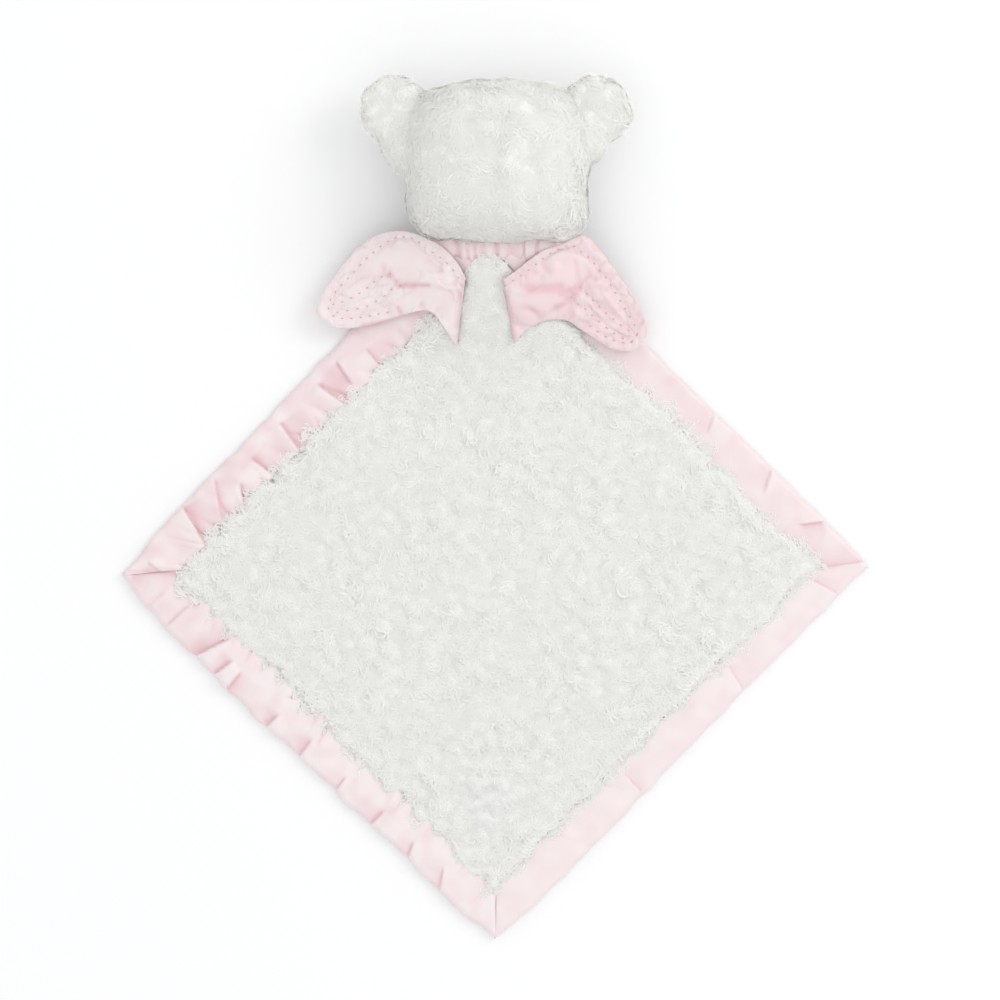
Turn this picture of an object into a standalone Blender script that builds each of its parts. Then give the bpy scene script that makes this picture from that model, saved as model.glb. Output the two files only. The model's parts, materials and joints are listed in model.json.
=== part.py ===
"""A comfort blanket lovey: a square plush blanket bound in satin, hung by one corner from
the neck of a stuffed bear's head, with a pair of padded satin wings sewn to its back.

It lies face down, with its wings on top. X runs across the blanket, Y runs towards the
crown of the head and Z is up. The origin is the middle of the blanket, on
the surface that it lies on. Lengths are in metres and angles in degrees.
"""

import math

import bmesh
import bpy
from mathutils import Matrix, Vector

# Blanket: two plush panels, back to back, bound all round
blanket_width = 0.330
back_panel_thickness = 0.0042
front_panel_thickness = 0.0036
panel_edge_thickness = 0.0012
plush_shoulder = 0.012

# Binding: satin folded round the panels' edges and mitred at the corners
binding_width = 0.0235
satin_thickness = 0.0006
ruffle_height = 0.0016
ruffle_pitch = 0.0260
ruffle_edge_share = 0.45
ruffle_slant_share = 0.8

# The puckers are a wave and a weaker one that runs out of step with it, over a mean
ruffle_mean_share = 0.5
ruffle_main_share = 0.35
ruffle_beat_share = 0.15
ruffle_beat_pitch_share = 0.6

# How strongly each side of the binding puckers, from the upper right side round to the left
pucker_shares = (0.35, 1.0, 0.9, 0.3)

# Clearances between pieces that touch on the real object, and overruns of the cutters
fit_gap = 0.0003
cut_overrun = 0.010
floor_cut = 0.0005
equator_share = 0.01

# Neck: the blanket's top corner rises to the head's seam, and its tip is drawn in there
neck_tuck_depth = 0.0283
neck_height = 0.031
neck_drape_radius = 0.095
neck_flat_radius = 0.012
gather_width = 0.050
gather_core = 0.0006
gather_tuck_count = 7
tuck_depth_share = 0.12

# Head: a domed back panel and a flatter face panel over the stuffing
head_half_width = 0.060
head_half_height = 0.051
head_back_depth = 0.044
head_face_depth = 0.019
head_outline_power = 3.0
head_depth_power = 2.3
head_skin_thickness = 0.003

# Ears: two layers each, caught in the seam between the head's panels
ear_radius = 0.023
ear_half_thickness = 0.0055
ear_rim_thickness = 0.0020
ear_side_distance = 0.063
ear_raised_distance = 0.030

# Face: a padded muzzle with an embroidered nose, and embroidered eyes
muzzle_half_width = 0.026
muzzle_half_height = 0.021
muzzle_half_depth = 0.022
muzzle_drop = 0.008
nose_half_width = 0.0065
nose_half_height = 0.0042
nose_half_thickness = 0.0022
nose_tilt = 42.0
eye_half_width = 0.0034
eye_half_height = 0.0044
eye_half_thickness = 0.0020
eye_side_distance = 0.019
eye_raised_distance = 0.014

# Wings: two satin layers over wadding, sewn to the blanket along their roots
wings_middle_x = -0.0065
wing_root_top_half = 0.0112
wing_root_bottom_half = 0.0174
wing_root_neck_gap = 0.0220
wing_root_length = 0.0415
wing_reach = 0.1055
wing_height = 0.0725
wing_loft = 0.0042
wing_lift = 0.0040
wing_margin_share = 0.28
wing_root_blend_share = 0.30
feather_start_share = 0.42
feather_depth_share = 0.62
feather_width_share = 0.09
feather_line_shares = ((0.62, 0.66), (0.40, 0.40))

# Each wing's edges, from the root to the tip, as shares of its reach and its height
left_leading_shares = (
    (0.106, 0.58), (0.185, 0.74), (0.285, 0.87), (0.405, 0.97), (0.530, 0.99),
    (0.650, 0.96), (0.760, 0.86), (0.865, 0.69), (0.945, 0.52), (0.990, 0.36),
)
left_trailing_shares = (
    (0.165, 0.00), (0.225, 0.12), (0.310, 0.28), (0.405, 0.30), (0.510, 0.26),
    (0.640, 0.20), (0.760, 0.16), (0.860, 0.16), (0.940, 0.20), (0.975, 0.26),
)
right_leading_shares = (
    (0.106, 0.58), (0.190, 0.67), (0.300, 0.78), (0.420, 0.89), (0.530, 0.95),
    (0.630, 0.94), (0.725, 0.80), (0.820, 0.60), (0.905, 0.39), (0.955, 0.20),
)
right_trailing_shares = (
    (0.165, 0.00), (0.225, 0.11), (0.310, 0.20), (0.405, 0.22), (0.500, 0.19),
    (0.590, 0.12), (0.690, 0.03), (0.790, -0.03), (0.880, -0.01), (0.935, 0.06),
)

# Mesh counts: the panels and their binding are finer where the blanket drapes
panel_flat_count = 4
panel_drape_count = 10
bound_flat_count = 1
bound_drape_count = 3
shoulder_count = 2
binding_counts = (42, 42, 42, 30)
upper_leg_count = 3
fold_count = 2
head_ring_count = 12
ear_count = 6
wing_counts = (14, 10)
wadding_inset_count = 2
root_sample_count = 10
muzzle_ring_count = 12
thread_ring_count = 6
gather_counts = (14, 4)

# Places worked out from the sizes above
diagonal_share = math.sqrt(2.0)
half_side = blanket_width / 2.0
corner_reach = half_side * diagonal_share
neck_reach = corner_reach - neck_tuck_depth
wing_root_top_y = neck_reach - wing_root_neck_gap
wing_root_bottom_y = wing_root_top_y - wing_root_length
pocket_half = fit_gap / 2.0 + panel_edge_thickness + fit_gap
binding_half = pocket_half + satin_thickness
edge_seam_height = binding_half
field_seam_height = front_panel_thickness + fit_gap / 2.0
blanket_top = field_seam_height + fit_gap / 2.0 + back_panel_thickness
neck_rise = neck_height - edge_seam_height
gather_radius = binding_half
hinge_y = neck_reach + fit_gap
head_centre = Vector((0.0, hinge_y + gather_radius + fit_gap + head_half_height, neck_height))
muzzle_centre = Vector((0.0, head_centre.y - muzzle_drop, muzzle_half_depth - floor_cut))

# Colours and finish of the materials
plush_colour = (0.905, 0.900, 0.880, 1.0)
satin_colour = (0.880, 0.735, 0.745, 1.0)
stuffing_colour = (0.930, 0.930, 0.930, 1.0)
nose_colour = (0.560, 0.330, 0.320, 1.0)
eye_colour = (0.110, 0.085, 0.075, 1.0)
plush_roughness = 0.95
satin_roughness = 0.38
thread_roughness = 0.55


def clear_scene():
    for old in list(bpy.data.objects):
        bpy.data.objects.remove(old, do_unlink=True)


def new_collection(name):
    collection = bpy.data.collections.new(name)
    bpy.context.scene.collection.children.link(collection)
    return collection


def new_material(name, colour, roughness):
    material = bpy.data.materials.new(name)
    material.use_nodes = True
    shader = material.node_tree.nodes["Principled BSDF"]
    shader.inputs["Base Color"].default_value = colour
    shader.inputs["Roughness"].default_value = roughness
    shader.inputs["Metallic"].default_value = 0.0
    material.diffuse_color = colour
    return material


def eased(t):
    """A smooth step from 0 to 1."""
    t = min(max(t, 0.0), 1.0)
    return t * t * (3.0 - 2.0 * t)


def mixed(a, b, share):
    return a + (b - a) * share


def add_object(name, bm, material, collection):
    """Makes the object of a closed mesh, with its faces pointing out. Bent quads are split
    one way on all pieces, so that surfaces laid on each other stay parallel."""
    bmesh.ops.triangulate(bm, faces=bm.faces, quad_method="FIXED")
    bmesh.ops.recalc_face_normals(bm, faces=bm.faces)
    if bm.calc_volume(signed=True) < 0.0:
        bmesh.ops.reverse_faces(bm, faces=bm.faces)
    mesh = bpy.data.meshes.new(name)
    bm.to_mesh(mesh)
    bm.free()
    mesh.shade_smooth()
    part = bpy.data.objects.new(name, mesh)
    if material:
        mesh.materials.append(material)
    collection.objects.link(part)
    return part


def add_cutter(name, bm):
    cutter = add_object(name, bm, None, cutters)
    cutter.hide_render = True
    cutter.display_type = "WIRE"
    return cutter


def cut(part, cutter):
    """Takes the cutter's shape out of the part."""
    boolean = part.modifiers.new(f"cut by {cutter.name}", "BOOLEAN")
    boolean.operation = "DIFFERENCE"
    boolean.solver = "EXACT"
    boolean.use_self = True
    boolean.object = cutter


def hang_on_axis(name, origin, direction, pieces):
    """Parents pieces to an empty on their joint's axis, with its Z along the axis."""
    axis = bpy.data.objects.new(name, None)
    placed = Matrix.Translation(origin) @ direction.to_track_quat("Z", "Y").to_matrix().to_4x4()
    axis.matrix_world = placed
    axis.empty_display_size = binding_width
    parts.objects.link(axis)
    for piece in pieces:
        piece.parent = axis
        piece.matrix_parent_inverse = placed.inverted()
    print(f"{name}: through {tuple(origin)} along {tuple(direction.normalized())}")


def formed_layer(name, cells, place, material):
    """A layer of cloth: a flat grid, extruded into a slab, whose points place() moves.

    place(u, v, w) takes shares along and across the layer, and w of 0 on its first face
    and 1 on its second.
    """
    bm = bmesh.new()
    bmesh.ops.create_grid(bm, x_segments=cells[0], y_segments=cells[1], size=1.0)
    first = list(bm.verts)
    grown = bmesh.ops.extrude_face_region(bm, geom=list(bm.faces))["geom"]
    second = {item for item in grown if isinstance(item, bmesh.types.BMVert)}
    for face, verts in enumerate((first, second)):
        for vert in verts:
            vert.co = place((vert.co.x + 1.0) / 2.0, (vert.co.y + 1.0) / 2.0, face)
    return add_object(name, bm, material, parts)


def unit_ball(rings):
    """A ball of radius 1, with a ring of points on its equator."""
    bm = bmesh.new()
    bmesh.ops.create_uvsphere(bm, u_segments=2 * rings, v_segments=rings, radius=1.0)
    return bm


def ball(sizes, centre, rings, turn=None):
    """An ellipsoid's mesh: half sizes, centre, rings and an optional turn."""
    bm = unit_ball(rings)
    bmesh.ops.transform(bm, matrix=Matrix.Diagonal((*sizes, 1.0)), verts=bm.verts)
    if turn:
        bmesh.ops.transform(bm, matrix=turn, verts=bm.verts)
    bmesh.ops.translate(bm, vec=centre, verts=bm.verts)
    return bm


def box(low, high):
    """A box's mesh between two corners."""
    bm = bmesh.new()
    bmesh.ops.create_cube(bm, size=1.0)
    middle = (low + high) / 2.0
    bmesh.ops.transform(bm, matrix=Matrix.Diagonal((*(high - low), 1.0)), verts=bm.verts)
    bmesh.ops.translate(bm, vec=middle, verts=bm.verts)
    return bm


def drape_rise(x, y):
    """How far the neck lifts the blanket above the floor at a point."""
    distance = max(math.hypot(x, y - neck_reach) - neck_flat_radius, 0.0)
    return neck_rise * eased(1.0 - distance / (neck_drape_radius - neck_flat_radius))


def swell(depth):
    """From 0 at the bound edge to 1 in the field, by the distance from the blanket's edge."""
    return eased((depth - binding_width - fit_gap) / plush_shoulder)


def seam_height(x, y, depth):
    """Height of the plane where the two panels meet."""
    return mixed(edge_seam_height, field_seam_height, swell(depth)) + drape_rise(x, y)


def even_steps(start, end, cells):
    """The points that end each of some equal steps."""
    return [mixed(start, end, (count + 1) / cells) for count in range(cells)]


def panel_stations():
    """Distances across a panel from its middle. They are closer where it swells from its
    bound edge, and towards the neck, where it drapes."""
    panel_half = half_side - binding_half
    swell_start = half_side - binding_width - fit_gap
    swell_end = swell_start - plush_shoulder
    drape_start = neck_reach / diagonal_share - neck_drape_radius
    stations = [-panel_half]
    stations += even_steps(-panel_half, -swell_start, bound_flat_count)
    stations += even_steps(-swell_start, -swell_end, shoulder_count)
    stations += even_steps(-swell_end, drape_start, panel_flat_count)
    stations += even_steps(drape_start, swell_end, panel_drape_count)
    stations += even_steps(swell_end, swell_start, shoulder_count)
    stations += even_steps(swell_start, panel_half, bound_drape_count)
    return stations


def blanket_panel(name, faces, material):
    """One plush panel. faces gives its heights above the seam plane, by its swell."""
    stations = panel_stations()
    cells = len(stations) - 1

    def place(u, v, w):
        along = stations[round(u * cells)]
        across = stations[round(v * cells)]
        depth = half_side - max(abs(along), abs(across))
        x = (along - across) / diagonal_share
        y = (along + across) / diagonal_share
        return Vector((x, y, seam_height(x, y, depth) + faces(swell(depth))[w]))

    return formed_layer(name, (cells, cells), place, material)


def back_faces(share):
    thickness = mixed(panel_edge_thickness, back_panel_thickness, share)
    return (fit_gap / 2.0, fit_gap / 2.0 + thickness)


def front_faces(share):
    thickness = mixed(panel_edge_thickness, front_panel_thickness, share)
    return (-fit_gap / 2.0, -fit_gap / 2.0 - thickness)


def edge_point(side, along, depth, height):
    """A point by its place on one side of the blanket: 0 is the upper right side."""
    turn = Matrix.Rotation(math.radians(45.0 + 90.0 * side), 2)
    x, y = turn @ Vector((half_side - depth, along - half_side))
    return Vector((x, y, edge_seam_height + drape_rise(x, y) + height))


def ruffle(along, depth, puckering):
    """Height of the puckers on the binding's upper leg: they run slantwise across it."""
    leg_share = min(depth / binding_width, 1.0)
    phase = 2.0 * math.pi * (along + ruffle_slant_share * depth) / ruffle_pitch
    wave = ruffle_mean_share + ruffle_main_share * math.cos(phase)
    wave += ruffle_beat_share * math.cos(phase * ruffle_beat_pitch_share)
    swell_share = mixed(math.sin(math.pi * leg_share), 1.0, ruffle_edge_share * leg_share)
    return ruffle_height * puckering * wave * swell_share


def binding_strip(name, side, material):
    """A strip of satin folded to a U round the panels' edges, with mitred ends."""
    puckering = pucker_shares[side]
    across_count = 1 + fold_count + upper_leg_count
    mitre_gap = fit_gap / diagonal_share

    def place(u, v, w):
        station = round(v * across_count)
        reach = pocket_half + satin_thickness * w
        if station == 0:
            depth, height = binding_width, -reach
        elif station <= 1 + fold_count:
            turn = math.pi * ((station - 1) / fold_count - 0.5)
            depth = binding_half - reach * math.cos(turn)
            height = reach * math.sin(turn)
        else:
            leg_share = (station - 1 - fold_count) / upper_leg_count
            depth = mixed(binding_half, binding_width, leg_share)
            height = reach
        start = depth + mitre_gap
        along = mixed(start, blanket_width - start, u)
        if height > 0.0:
            fade = eased((start + binding_width - along) / binding_width)
            fade += eased((along - blanket_width + start + binding_width) / binding_width)
            height += ruffle(along, depth, puckering) * (1.0 - min(fade, 1.0))
        return edge_point(side, along, depth, height)

    return formed_layer(name, (binding_counts[side], across_count), place, material)


def neck_gather(name, material):
    """The bound corner rolled and tucked into the neck seam, round the nod axis."""

    def place(u, v, w):
        tuck = 0.5 - 0.5 * math.cos(2.0 * math.pi * gather_tuck_count * u)
        outer = gather_radius * (1.0 - tuck_depth_share * tuck)
        radius = mixed(gather_core, outer, w)
        turn = math.pi * (v - 0.5)
        x = gather_width * (u - 0.5)
        return Vector((x, hinge_y + radius * math.cos(turn), neck_height + radius * math.sin(turn)))

    return formed_layer(name, gather_counts, place, material)


def head_point(direction, inset):
    """A point of the head's form in a direction, a distance inside its surface."""
    depth = head_back_depth if direction.z >= 0.0 else head_face_depth
    outline = abs(direction.x) ** head_outline_power + abs(direction.y) ** head_outline_power
    across = outline ** (head_depth_power / head_outline_power)
    reach = (across + abs(direction.z) ** head_depth_power) ** (-1.0 / head_depth_power)
    half_sizes = Vector((head_half_width - inset, head_half_height - inset, depth - inset))
    return head_centre + direction * half_sizes * reach


def dome_direction(u, v):
    """The direction from a dome's centre to a point of a square laid over the dome."""
    a = 2.0 * u - 1.0
    b = 2.0 * v - 1.0
    x = a * math.sqrt(1.0 - b * b / 2.0)
    y = b * math.sqrt(1.0 - a * a / 2.0)
    spread = math.hypot(x, y)
    if spread == 0.0:
        return Vector((0.0, 0.0, 1.0))
    angle = min(spread, 1.0) * math.pi / 2.0
    flat = Vector((x, y, 0.0)) * math.sin(angle) / spread
    return flat + Vector((0.0, 0.0, math.cos(angle)))


def head_ball(inset):
    """The head's whole form as a closed mesh, a distance inside its surface."""
    bm = unit_ball(head_ring_count)
    for vert in bm.verts:
        vert.co = head_point(vert.co.normalized(), inset)
    return bm


def head_panel(name, facing, material):
    """Half of the head's skin, open at the seam: facing is 1 for the back and -1 for the face."""
    bm = unit_ball(head_ring_count)
    beyond = [vert for vert in bm.verts if facing * vert.co.z < -equator_share]
    bmesh.ops.delete(bm, geom=beyond, context="VERTS")
    outer = list(bm.verts)
    grown = bmesh.ops.extrude_face_region(bm, geom=list(bm.faces))["geom"]
    inner = [item for item in grown if isinstance(item, bmesh.types.BMVert)]
    for verts, inset in ((outer, 0.0), (inner, head_skin_thickness)):
        for vert in verts:
            vert.co = head_point(vert.co.normalized(), inset)
            vert.co.z += facing * fit_gap / 2.0
    return add_object(name, bm, material, parts)


def ear_layer(name, side, facing, material):
    """One layer of an ear: a padded disc in the head's seam plane, cut by the head."""
    middle = head_centre + Vector((side * ear_side_distance, ear_raised_distance, 0.0))

    def place(u, v, w):
        direction = dome_direction(u, v)
        height = fit_gap / 2.0 + w * mixed(ear_rim_thickness, ear_half_thickness, direction.z)
        flat = Vector((direction.x, direction.y, 0.0)) * ear_radius
        return middle + flat + Vector((0.0, 0.0, facing * height))

    layer = formed_layer(name, (ear_count, ear_count), place, material)
    cut(layer, head_cutter)
    return layer


def curve_point(points, share):
    """A point on the smooth curve through a list of points, which it passes evenly."""
    position = min(max(share, 0.0), 1.0) * (len(points) - 1)
    index = min(int(position), len(points) - 2)
    t = position - index
    p1 = Vector(points[index])
    p2 = Vector(points[index + 1])
    p0 = Vector(points[index - 1]) if index else 2.0 * p1 - p2
    p3 = Vector(points[index + 2]) if index + 2 < len(points) else 2.0 * p2 - p1
    bend = (2.0 * p0 - 5.0 * p1 + 4.0 * p2 - p3) * t * t
    return (2.0 * p1 + (p2 - p0) * t + bend + (3.0 * (p1 - p2) + p3 - p0) * t * t * t) / 2.0


class Wing:
    """One wing's plan, root axis and layers. side is -1 on the left and 1 on the right."""

    def __init__(self, side, leading_shares, trailing_shares):
        self.side = side
        self.leading_shares = leading_shares
        self.trailing_shares = trailing_shares
        bottom = self.plan(0.0, 0.0)
        top = self.plan(0.0, 1.0)
        self.root_bottom = Vector((*bottom, self.rest_height(*bottom)))
        self.root_top = Vector((*top, self.rest_height(*top)))
        steps = [step / root_sample_count for step in range(root_sample_count + 1)]
        lift = max(self.rest_height(*self.plan(0.0, v)) - self.root_point(v).z for v in steps)
        raised = Vector((0.0, 0.0, max(lift, 0.0)))
        self.root_bottom += raised
        self.root_top += raised

    def plan(self, u, v):
        """Where a point of the wing lies from above: u from root to tip, v across it."""
        lead_out, lead_up = curve_point(self.leading_shares, u)
        trail_out, trail_up = curve_point(self.trailing_shares, u)
        if u == 0.0:
            out = mixed(wing_root_bottom_half, wing_root_top_half, v)
            y = mixed(wing_root_bottom_y, wing_root_top_y, v)
        else:
            out = wing_reach * mixed(trail_out, lead_out, v)
            y = wing_root_bottom_y + wing_height * mixed(trail_up, lead_up, v)
        return wings_middle_x + self.side * out, y

    def rest_height(self, x, y):
        return blanket_top + drape_rise(x, y) + fit_gap

    def root_point(self, v):
        return self.root_bottom.lerp(self.root_top, v)

    def underside(self, u, v):
        """Height of the wing's lower face, which lies on the blanket and lifts outwards."""
        x, y = self.plan(u, v)
        root_x, root_y = self.plan(0.0, v)
        root_extra = self.root_point(v).z - self.rest_height(root_x, root_y)
        root_share = 1.0 - eased(u / wing_root_blend_share)
        return self.rest_height(x, y) + wing_lift * eased(u) + root_extra * root_share

    def loft(self, u, v):
        """Room between the two satin layers: nothing at the sewn margin, and little at
        the two rows of stitching that mark the feathers."""
        share = eased(u / wing_margin_share) * eased((1.0 - u) / wing_margin_share)
        share *= eased(v / wing_margin_share) * eased((1.0 - v) / wing_margin_share)
        for near, far in feather_line_shares:
            line = mixed(near, far, (u - feather_start_share) / (1.0 - feather_start_share))
            reach = eased((u - feather_start_share) / feather_width_share)
            pinch = math.exp(-(((v - line) / feather_width_share) ** 2))
            share *= 1.0 - feather_depth_share * reach * pinch
        return fit_gap + wing_loft * share

    def layer(self, name, inset_count, heights, material):
        """One layer, some cells inside the wing's edge. heights gives its two faces above
        the underside, by the loft."""
        cells = [count - 2 * inset_count for count in wing_counts]

        def place(u, v, w):
            along = (inset_count + u * cells[0]) / wing_counts[0]
            across = (inset_count + v * cells[1]) / wing_counts[1]
            x, y = self.plan(along, across)
            height = self.underside(along, across) + heights(self.loft(along, across))[w]
            return Vector((x, y, height))

        return formed_layer(name, cells, place, material)

    def build(self, name):
        def under(loft):
            return 0.0, satin_thickness

        def inside(loft):
            return satin_thickness + fit_gap, satin_thickness + loft - fit_gap

        def top(loft):
            return satin_thickness + loft, 2.0 * satin_thickness + loft

        layers = [
            self.layer(f"{name}_under", 0, under, satin),
            self.layer(f"{name}_wadding", wadding_inset_count, inside, stuffing),
            self.layer(f"{name}_top", 0, top, satin),
        ]
        upwards = self.root_top - self.root_bottom
        hang_on_axis(f"{name}_flap_axis", self.root_bottom, -self.side * upwards, layers)


clear_scene()
parts = new_collection("comfort_blanket_lovey")
cutters = new_collection("cutters")
plush = new_material("white_plush", plush_colour, plush_roughness)
satin = new_material("pink_satin", satin_colour, satin_roughness)
stuffing = new_material("polyester_stuffing", stuffing_colour, plush_roughness)
nose_thread = new_material("nose_thread", nose_colour, thread_roughness)
eye_thread = new_material("eye_thread", eye_colour, thread_roughness)

# Cutters
neck_cutter = add_cutter(
    "neck_cutter",
    box(
        Vector((-corner_reach, neck_reach, -cut_overrun)),
        Vector((corner_reach, corner_reach + cut_overrun, neck_height + cut_overrun)),
    ),
)
head_cutter = add_cutter("head_cutter", head_ball(-fit_gap))
floor_cutter = add_cutter(
    "floor_cutter",
    box(
        Vector((-head_half_width, neck_reach, -muzzle_half_depth)),
        Vector((head_half_width, head_centre.y + head_half_height, 0.0)),
    ),
)
muzzle_clear = (
    muzzle_half_width + fit_gap,
    muzzle_half_height + fit_gap,
    muzzle_half_depth + fit_gap,
)
muzzle_cutter = add_cutter("muzzle_cutter", ball(muzzle_clear, muzzle_centre, muzzle_ring_count))

# Blanket
for panel in (
    blanket_panel("blanket_back_panel", back_faces, plush),
    blanket_panel("blanket_front_panel", front_faces, plush),
):
    cut(panel, neck_cutter)

# Binding: the left sides are strongly puckered and the right ones nearly smooth
for side, place_name in enumerate(("upper_right", "upper_left", "lower_left", "lower_right")):
    strip = binding_strip(f"binding_{place_name}", side, satin)
    if place_name.startswith("upper"):
        cut(strip, neck_cutter)
neck_gather("neck_gather", satin)

# Head
head_pieces = [
    head_panel("head_back_panel", 1.0, plush),
    head_panel("head_face_panel", -1.0, plush),
    add_object("head_stuffing", head_ball(head_skin_thickness + fit_gap), stuffing, parts),
]
for side_name, side in (("left", -1.0), ("right", 1.0)):
    head_pieces.append(ear_layer(f"ear_{side_name}_back", side, 1.0, plush))
    head_pieces.append(ear_layer(f"ear_{side_name}_front", side, -1.0, plush))

# Face
muzzle_sizes = (muzzle_half_width, muzzle_half_height, muzzle_half_depth)
muzzle = add_object("muzzle", ball(muzzle_sizes, muzzle_centre, muzzle_ring_count), plush, parts)
cut(muzzle, head_cutter)
cut(muzzle, floor_cutter)
head_pieces.append(muzzle)
tilt = math.radians(nose_tilt)
nose_place = muzzle_centre + Vector(
    (0.0, muzzle_half_height * math.sin(tilt), -muzzle_half_depth * math.cos(tilt))
)
nose_sizes = (nose_half_width, nose_half_height, nose_half_thickness)
nose_turn = Matrix.Rotation(tilt, 4, "X")
nose_bm = ball(nose_sizes, nose_place, thread_ring_count, nose_turn)
nose = add_object("nose", nose_bm, nose_thread, parts)
cut(nose, muzzle_cutter)
head_pieces.append(nose)
for side_name, side in (("left", -1.0), ("right", 1.0)):
    toward = Vector((side * eye_side_distance / head_half_width, eye_raised_distance / head_half_height))
    direction = Vector((toward.x, toward.y, -math.sqrt(1.0 - toward.length_squared)))
    eye_sizes = (eye_half_width, eye_half_height, eye_half_thickness)
    eye_bm = ball(eye_sizes, head_point(direction, 0.0), thread_ring_count)
    eye = add_object(f"eye_{side_name}", eye_bm, eye_thread, parts)
    cut(eye, head_cutter)
    head_pieces.append(eye)

# The head nods about the neck seam: a positive turn lifts its crown
neck_middle = Vector((0.0, hinge_y, neck_height))
hang_on_axis("head_nod_axis", neck_middle, Vector((1.0, 0.0, 0.0)), head_pieces)

# Wings: a positive turn of either lifts its tip
Wing(-1.0, left_leading_shares, left_trailing_shares).build("wing_left")
Wing(1.0, right_leading_shares, right_trailing_shares).build("wing_right")
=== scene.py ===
# %% [markdown]
# # A comfort blanket lovey
#
# A square of curly white plush is bound in pale pink satin. A stuffed bear's head is sewn to
# one corner, and a pair of padded satin wings to the back. It lies face down on a pale floor,
# seen from straight above. The frame holds plain solids of the right size and place, and this
# script dresses them: each soft piece is built again as cloth, pile or thread in the space
# that its solid holds.

# %% Load the frame
import json
import math
from contextlib import contextmanager

import bmesh
import bpy
import numpy as np
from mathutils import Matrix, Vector, noise

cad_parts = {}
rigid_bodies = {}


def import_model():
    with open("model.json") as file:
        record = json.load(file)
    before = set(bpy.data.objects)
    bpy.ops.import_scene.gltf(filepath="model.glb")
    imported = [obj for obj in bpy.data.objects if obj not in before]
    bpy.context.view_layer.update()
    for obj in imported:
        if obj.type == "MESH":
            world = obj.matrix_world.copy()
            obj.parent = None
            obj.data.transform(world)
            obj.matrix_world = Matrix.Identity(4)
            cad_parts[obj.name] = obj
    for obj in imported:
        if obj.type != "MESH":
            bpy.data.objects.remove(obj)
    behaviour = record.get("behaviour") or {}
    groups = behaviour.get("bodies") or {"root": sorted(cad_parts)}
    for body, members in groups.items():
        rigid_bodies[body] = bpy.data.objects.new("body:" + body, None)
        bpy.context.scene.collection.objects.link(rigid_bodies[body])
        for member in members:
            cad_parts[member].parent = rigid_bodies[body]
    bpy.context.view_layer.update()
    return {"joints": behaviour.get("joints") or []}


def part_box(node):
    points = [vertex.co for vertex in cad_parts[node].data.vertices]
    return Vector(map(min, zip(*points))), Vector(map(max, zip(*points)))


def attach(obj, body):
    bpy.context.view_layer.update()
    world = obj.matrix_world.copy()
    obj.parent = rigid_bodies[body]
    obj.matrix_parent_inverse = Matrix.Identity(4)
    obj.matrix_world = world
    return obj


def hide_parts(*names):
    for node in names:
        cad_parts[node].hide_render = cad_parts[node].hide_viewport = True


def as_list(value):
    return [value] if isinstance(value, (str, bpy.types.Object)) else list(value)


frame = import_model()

# %% [markdown]
# ## Sizes
#
# The frame gives the places of the joints and the boxes of the solids, so most sizes are read
# from it. The photograph was taken from straight above, so a point seen in it can be given as
# a pixel, and one scale and one origin turn that pixel into a place on the blanket.

# %% Sizes from the frame, and places from pixels
joints = {joint["name"]: joint for joint in frame["joints"]}
neck = Vector(joints["head_nod"]["pos_m"])
diagonal = math.sqrt(2.0)
corner_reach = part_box("binding_lower_right")[1].x
half_side = corner_reach / diagonal
binding_width = 0.0235
binding_height = 0.0045
back_top = 0.0081
fit_gap = 0.0003
drape_radius = 0.095
drape_flat_radius = 0.012
metres_per_pixel = 0.0006334
blanket_middle_pixel = (496.0, 570.0)
picture_middle_pixel = (500.0, 500.0)
picture_width_pixels = 1000.0


def place(pixel):
    """The place on the blanket of a pixel of the photograph."""
    x = (pixel[0] - blanket_middle_pixel[0]) * metres_per_pixel
    y = (blanket_middle_pixel[1] - pixel[1]) * metres_per_pixel
    return Vector((x, y))


print(f"blanket {2 * half_side:.4f} m a side, neck at {tuple(round(c, 4) for c in neck)}")

# %% [markdown]
# ## Camera, light and floor
#
# The photograph is flat and bright: a large soft light from the upper right, light from all
# round, and a white floor that shows only a soft shadow. The floor is given a lighter colour
# for the camera alone, so that it shows white and still keeps the shadow, with no more light
# on the toy.

# %% Camera
def linked(name, data):
    """An object in the scene that shows a mesh, a light or a camera."""
    made = bpy.data.objects.new(name, data)
    bpy.context.scene.collection.objects.link(made)
    return made


camera_height = 3.2
sensor_width = 36.0
camera_data = bpy.data.cameras.new("camera")
camera_data.sensor_width = sensor_width
camera_data.lens = sensor_width * camera_height / (metres_per_pixel * picture_width_pixels)
camera = linked("camera", camera_data)
camera.location = (*place(picture_middle_pixel), camera_height)
bpy.context.scene.camera = camera
bpy.context.scene.view_settings.view_transform = "Standard"
print(f"camera {camera_height} m up, {camera_data.lens:.0f} mm lens")


# %% Light
def soft_light(name, position, aim, size, watts):
    """A square area light that looks from a position to a point."""
    data = bpy.data.lights.new(name, "AREA")
    data.size = size
    data.energy = watts
    light = linked(name, data)
    light.location = position
    light.rotation_euler = (Vector(aim) - Vector(position)).to_track_quat("-Z", "Y").to_euler()


world_colour = (0.975, 0.98, 0.99, 1.0)
world_strength = 0.955
soft_light("key_light", (1.55, 0.95, 1.35), (0.0, 0.05, 0.0), 1.0, 9.0)
soft_light("fill_light", (-0.9, -0.7, 2.2), (0.0, 0.0, 0.0), 1.6, 2.0)
world = bpy.data.worlds.new("studio")
world.use_nodes = True
background = world.node_tree.nodes["Background"]
background.inputs["Color"].default_value = world_colour
background.inputs["Strength"].default_value = world_strength
bpy.context.scene.world = world
print("lights:", [light.name for light in bpy.data.lights])

# %% [markdown]
# ## Writing node trees
#
# Materials and patterns are node trees. Two small classes keep them short. A Wire is a socket
# that Python's operators can do sums with, so that `1 - mask * 0.5` adds the two Math nodes
# that it needs. A Graph adds any other node, from its type, its settings and its inputs.


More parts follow.
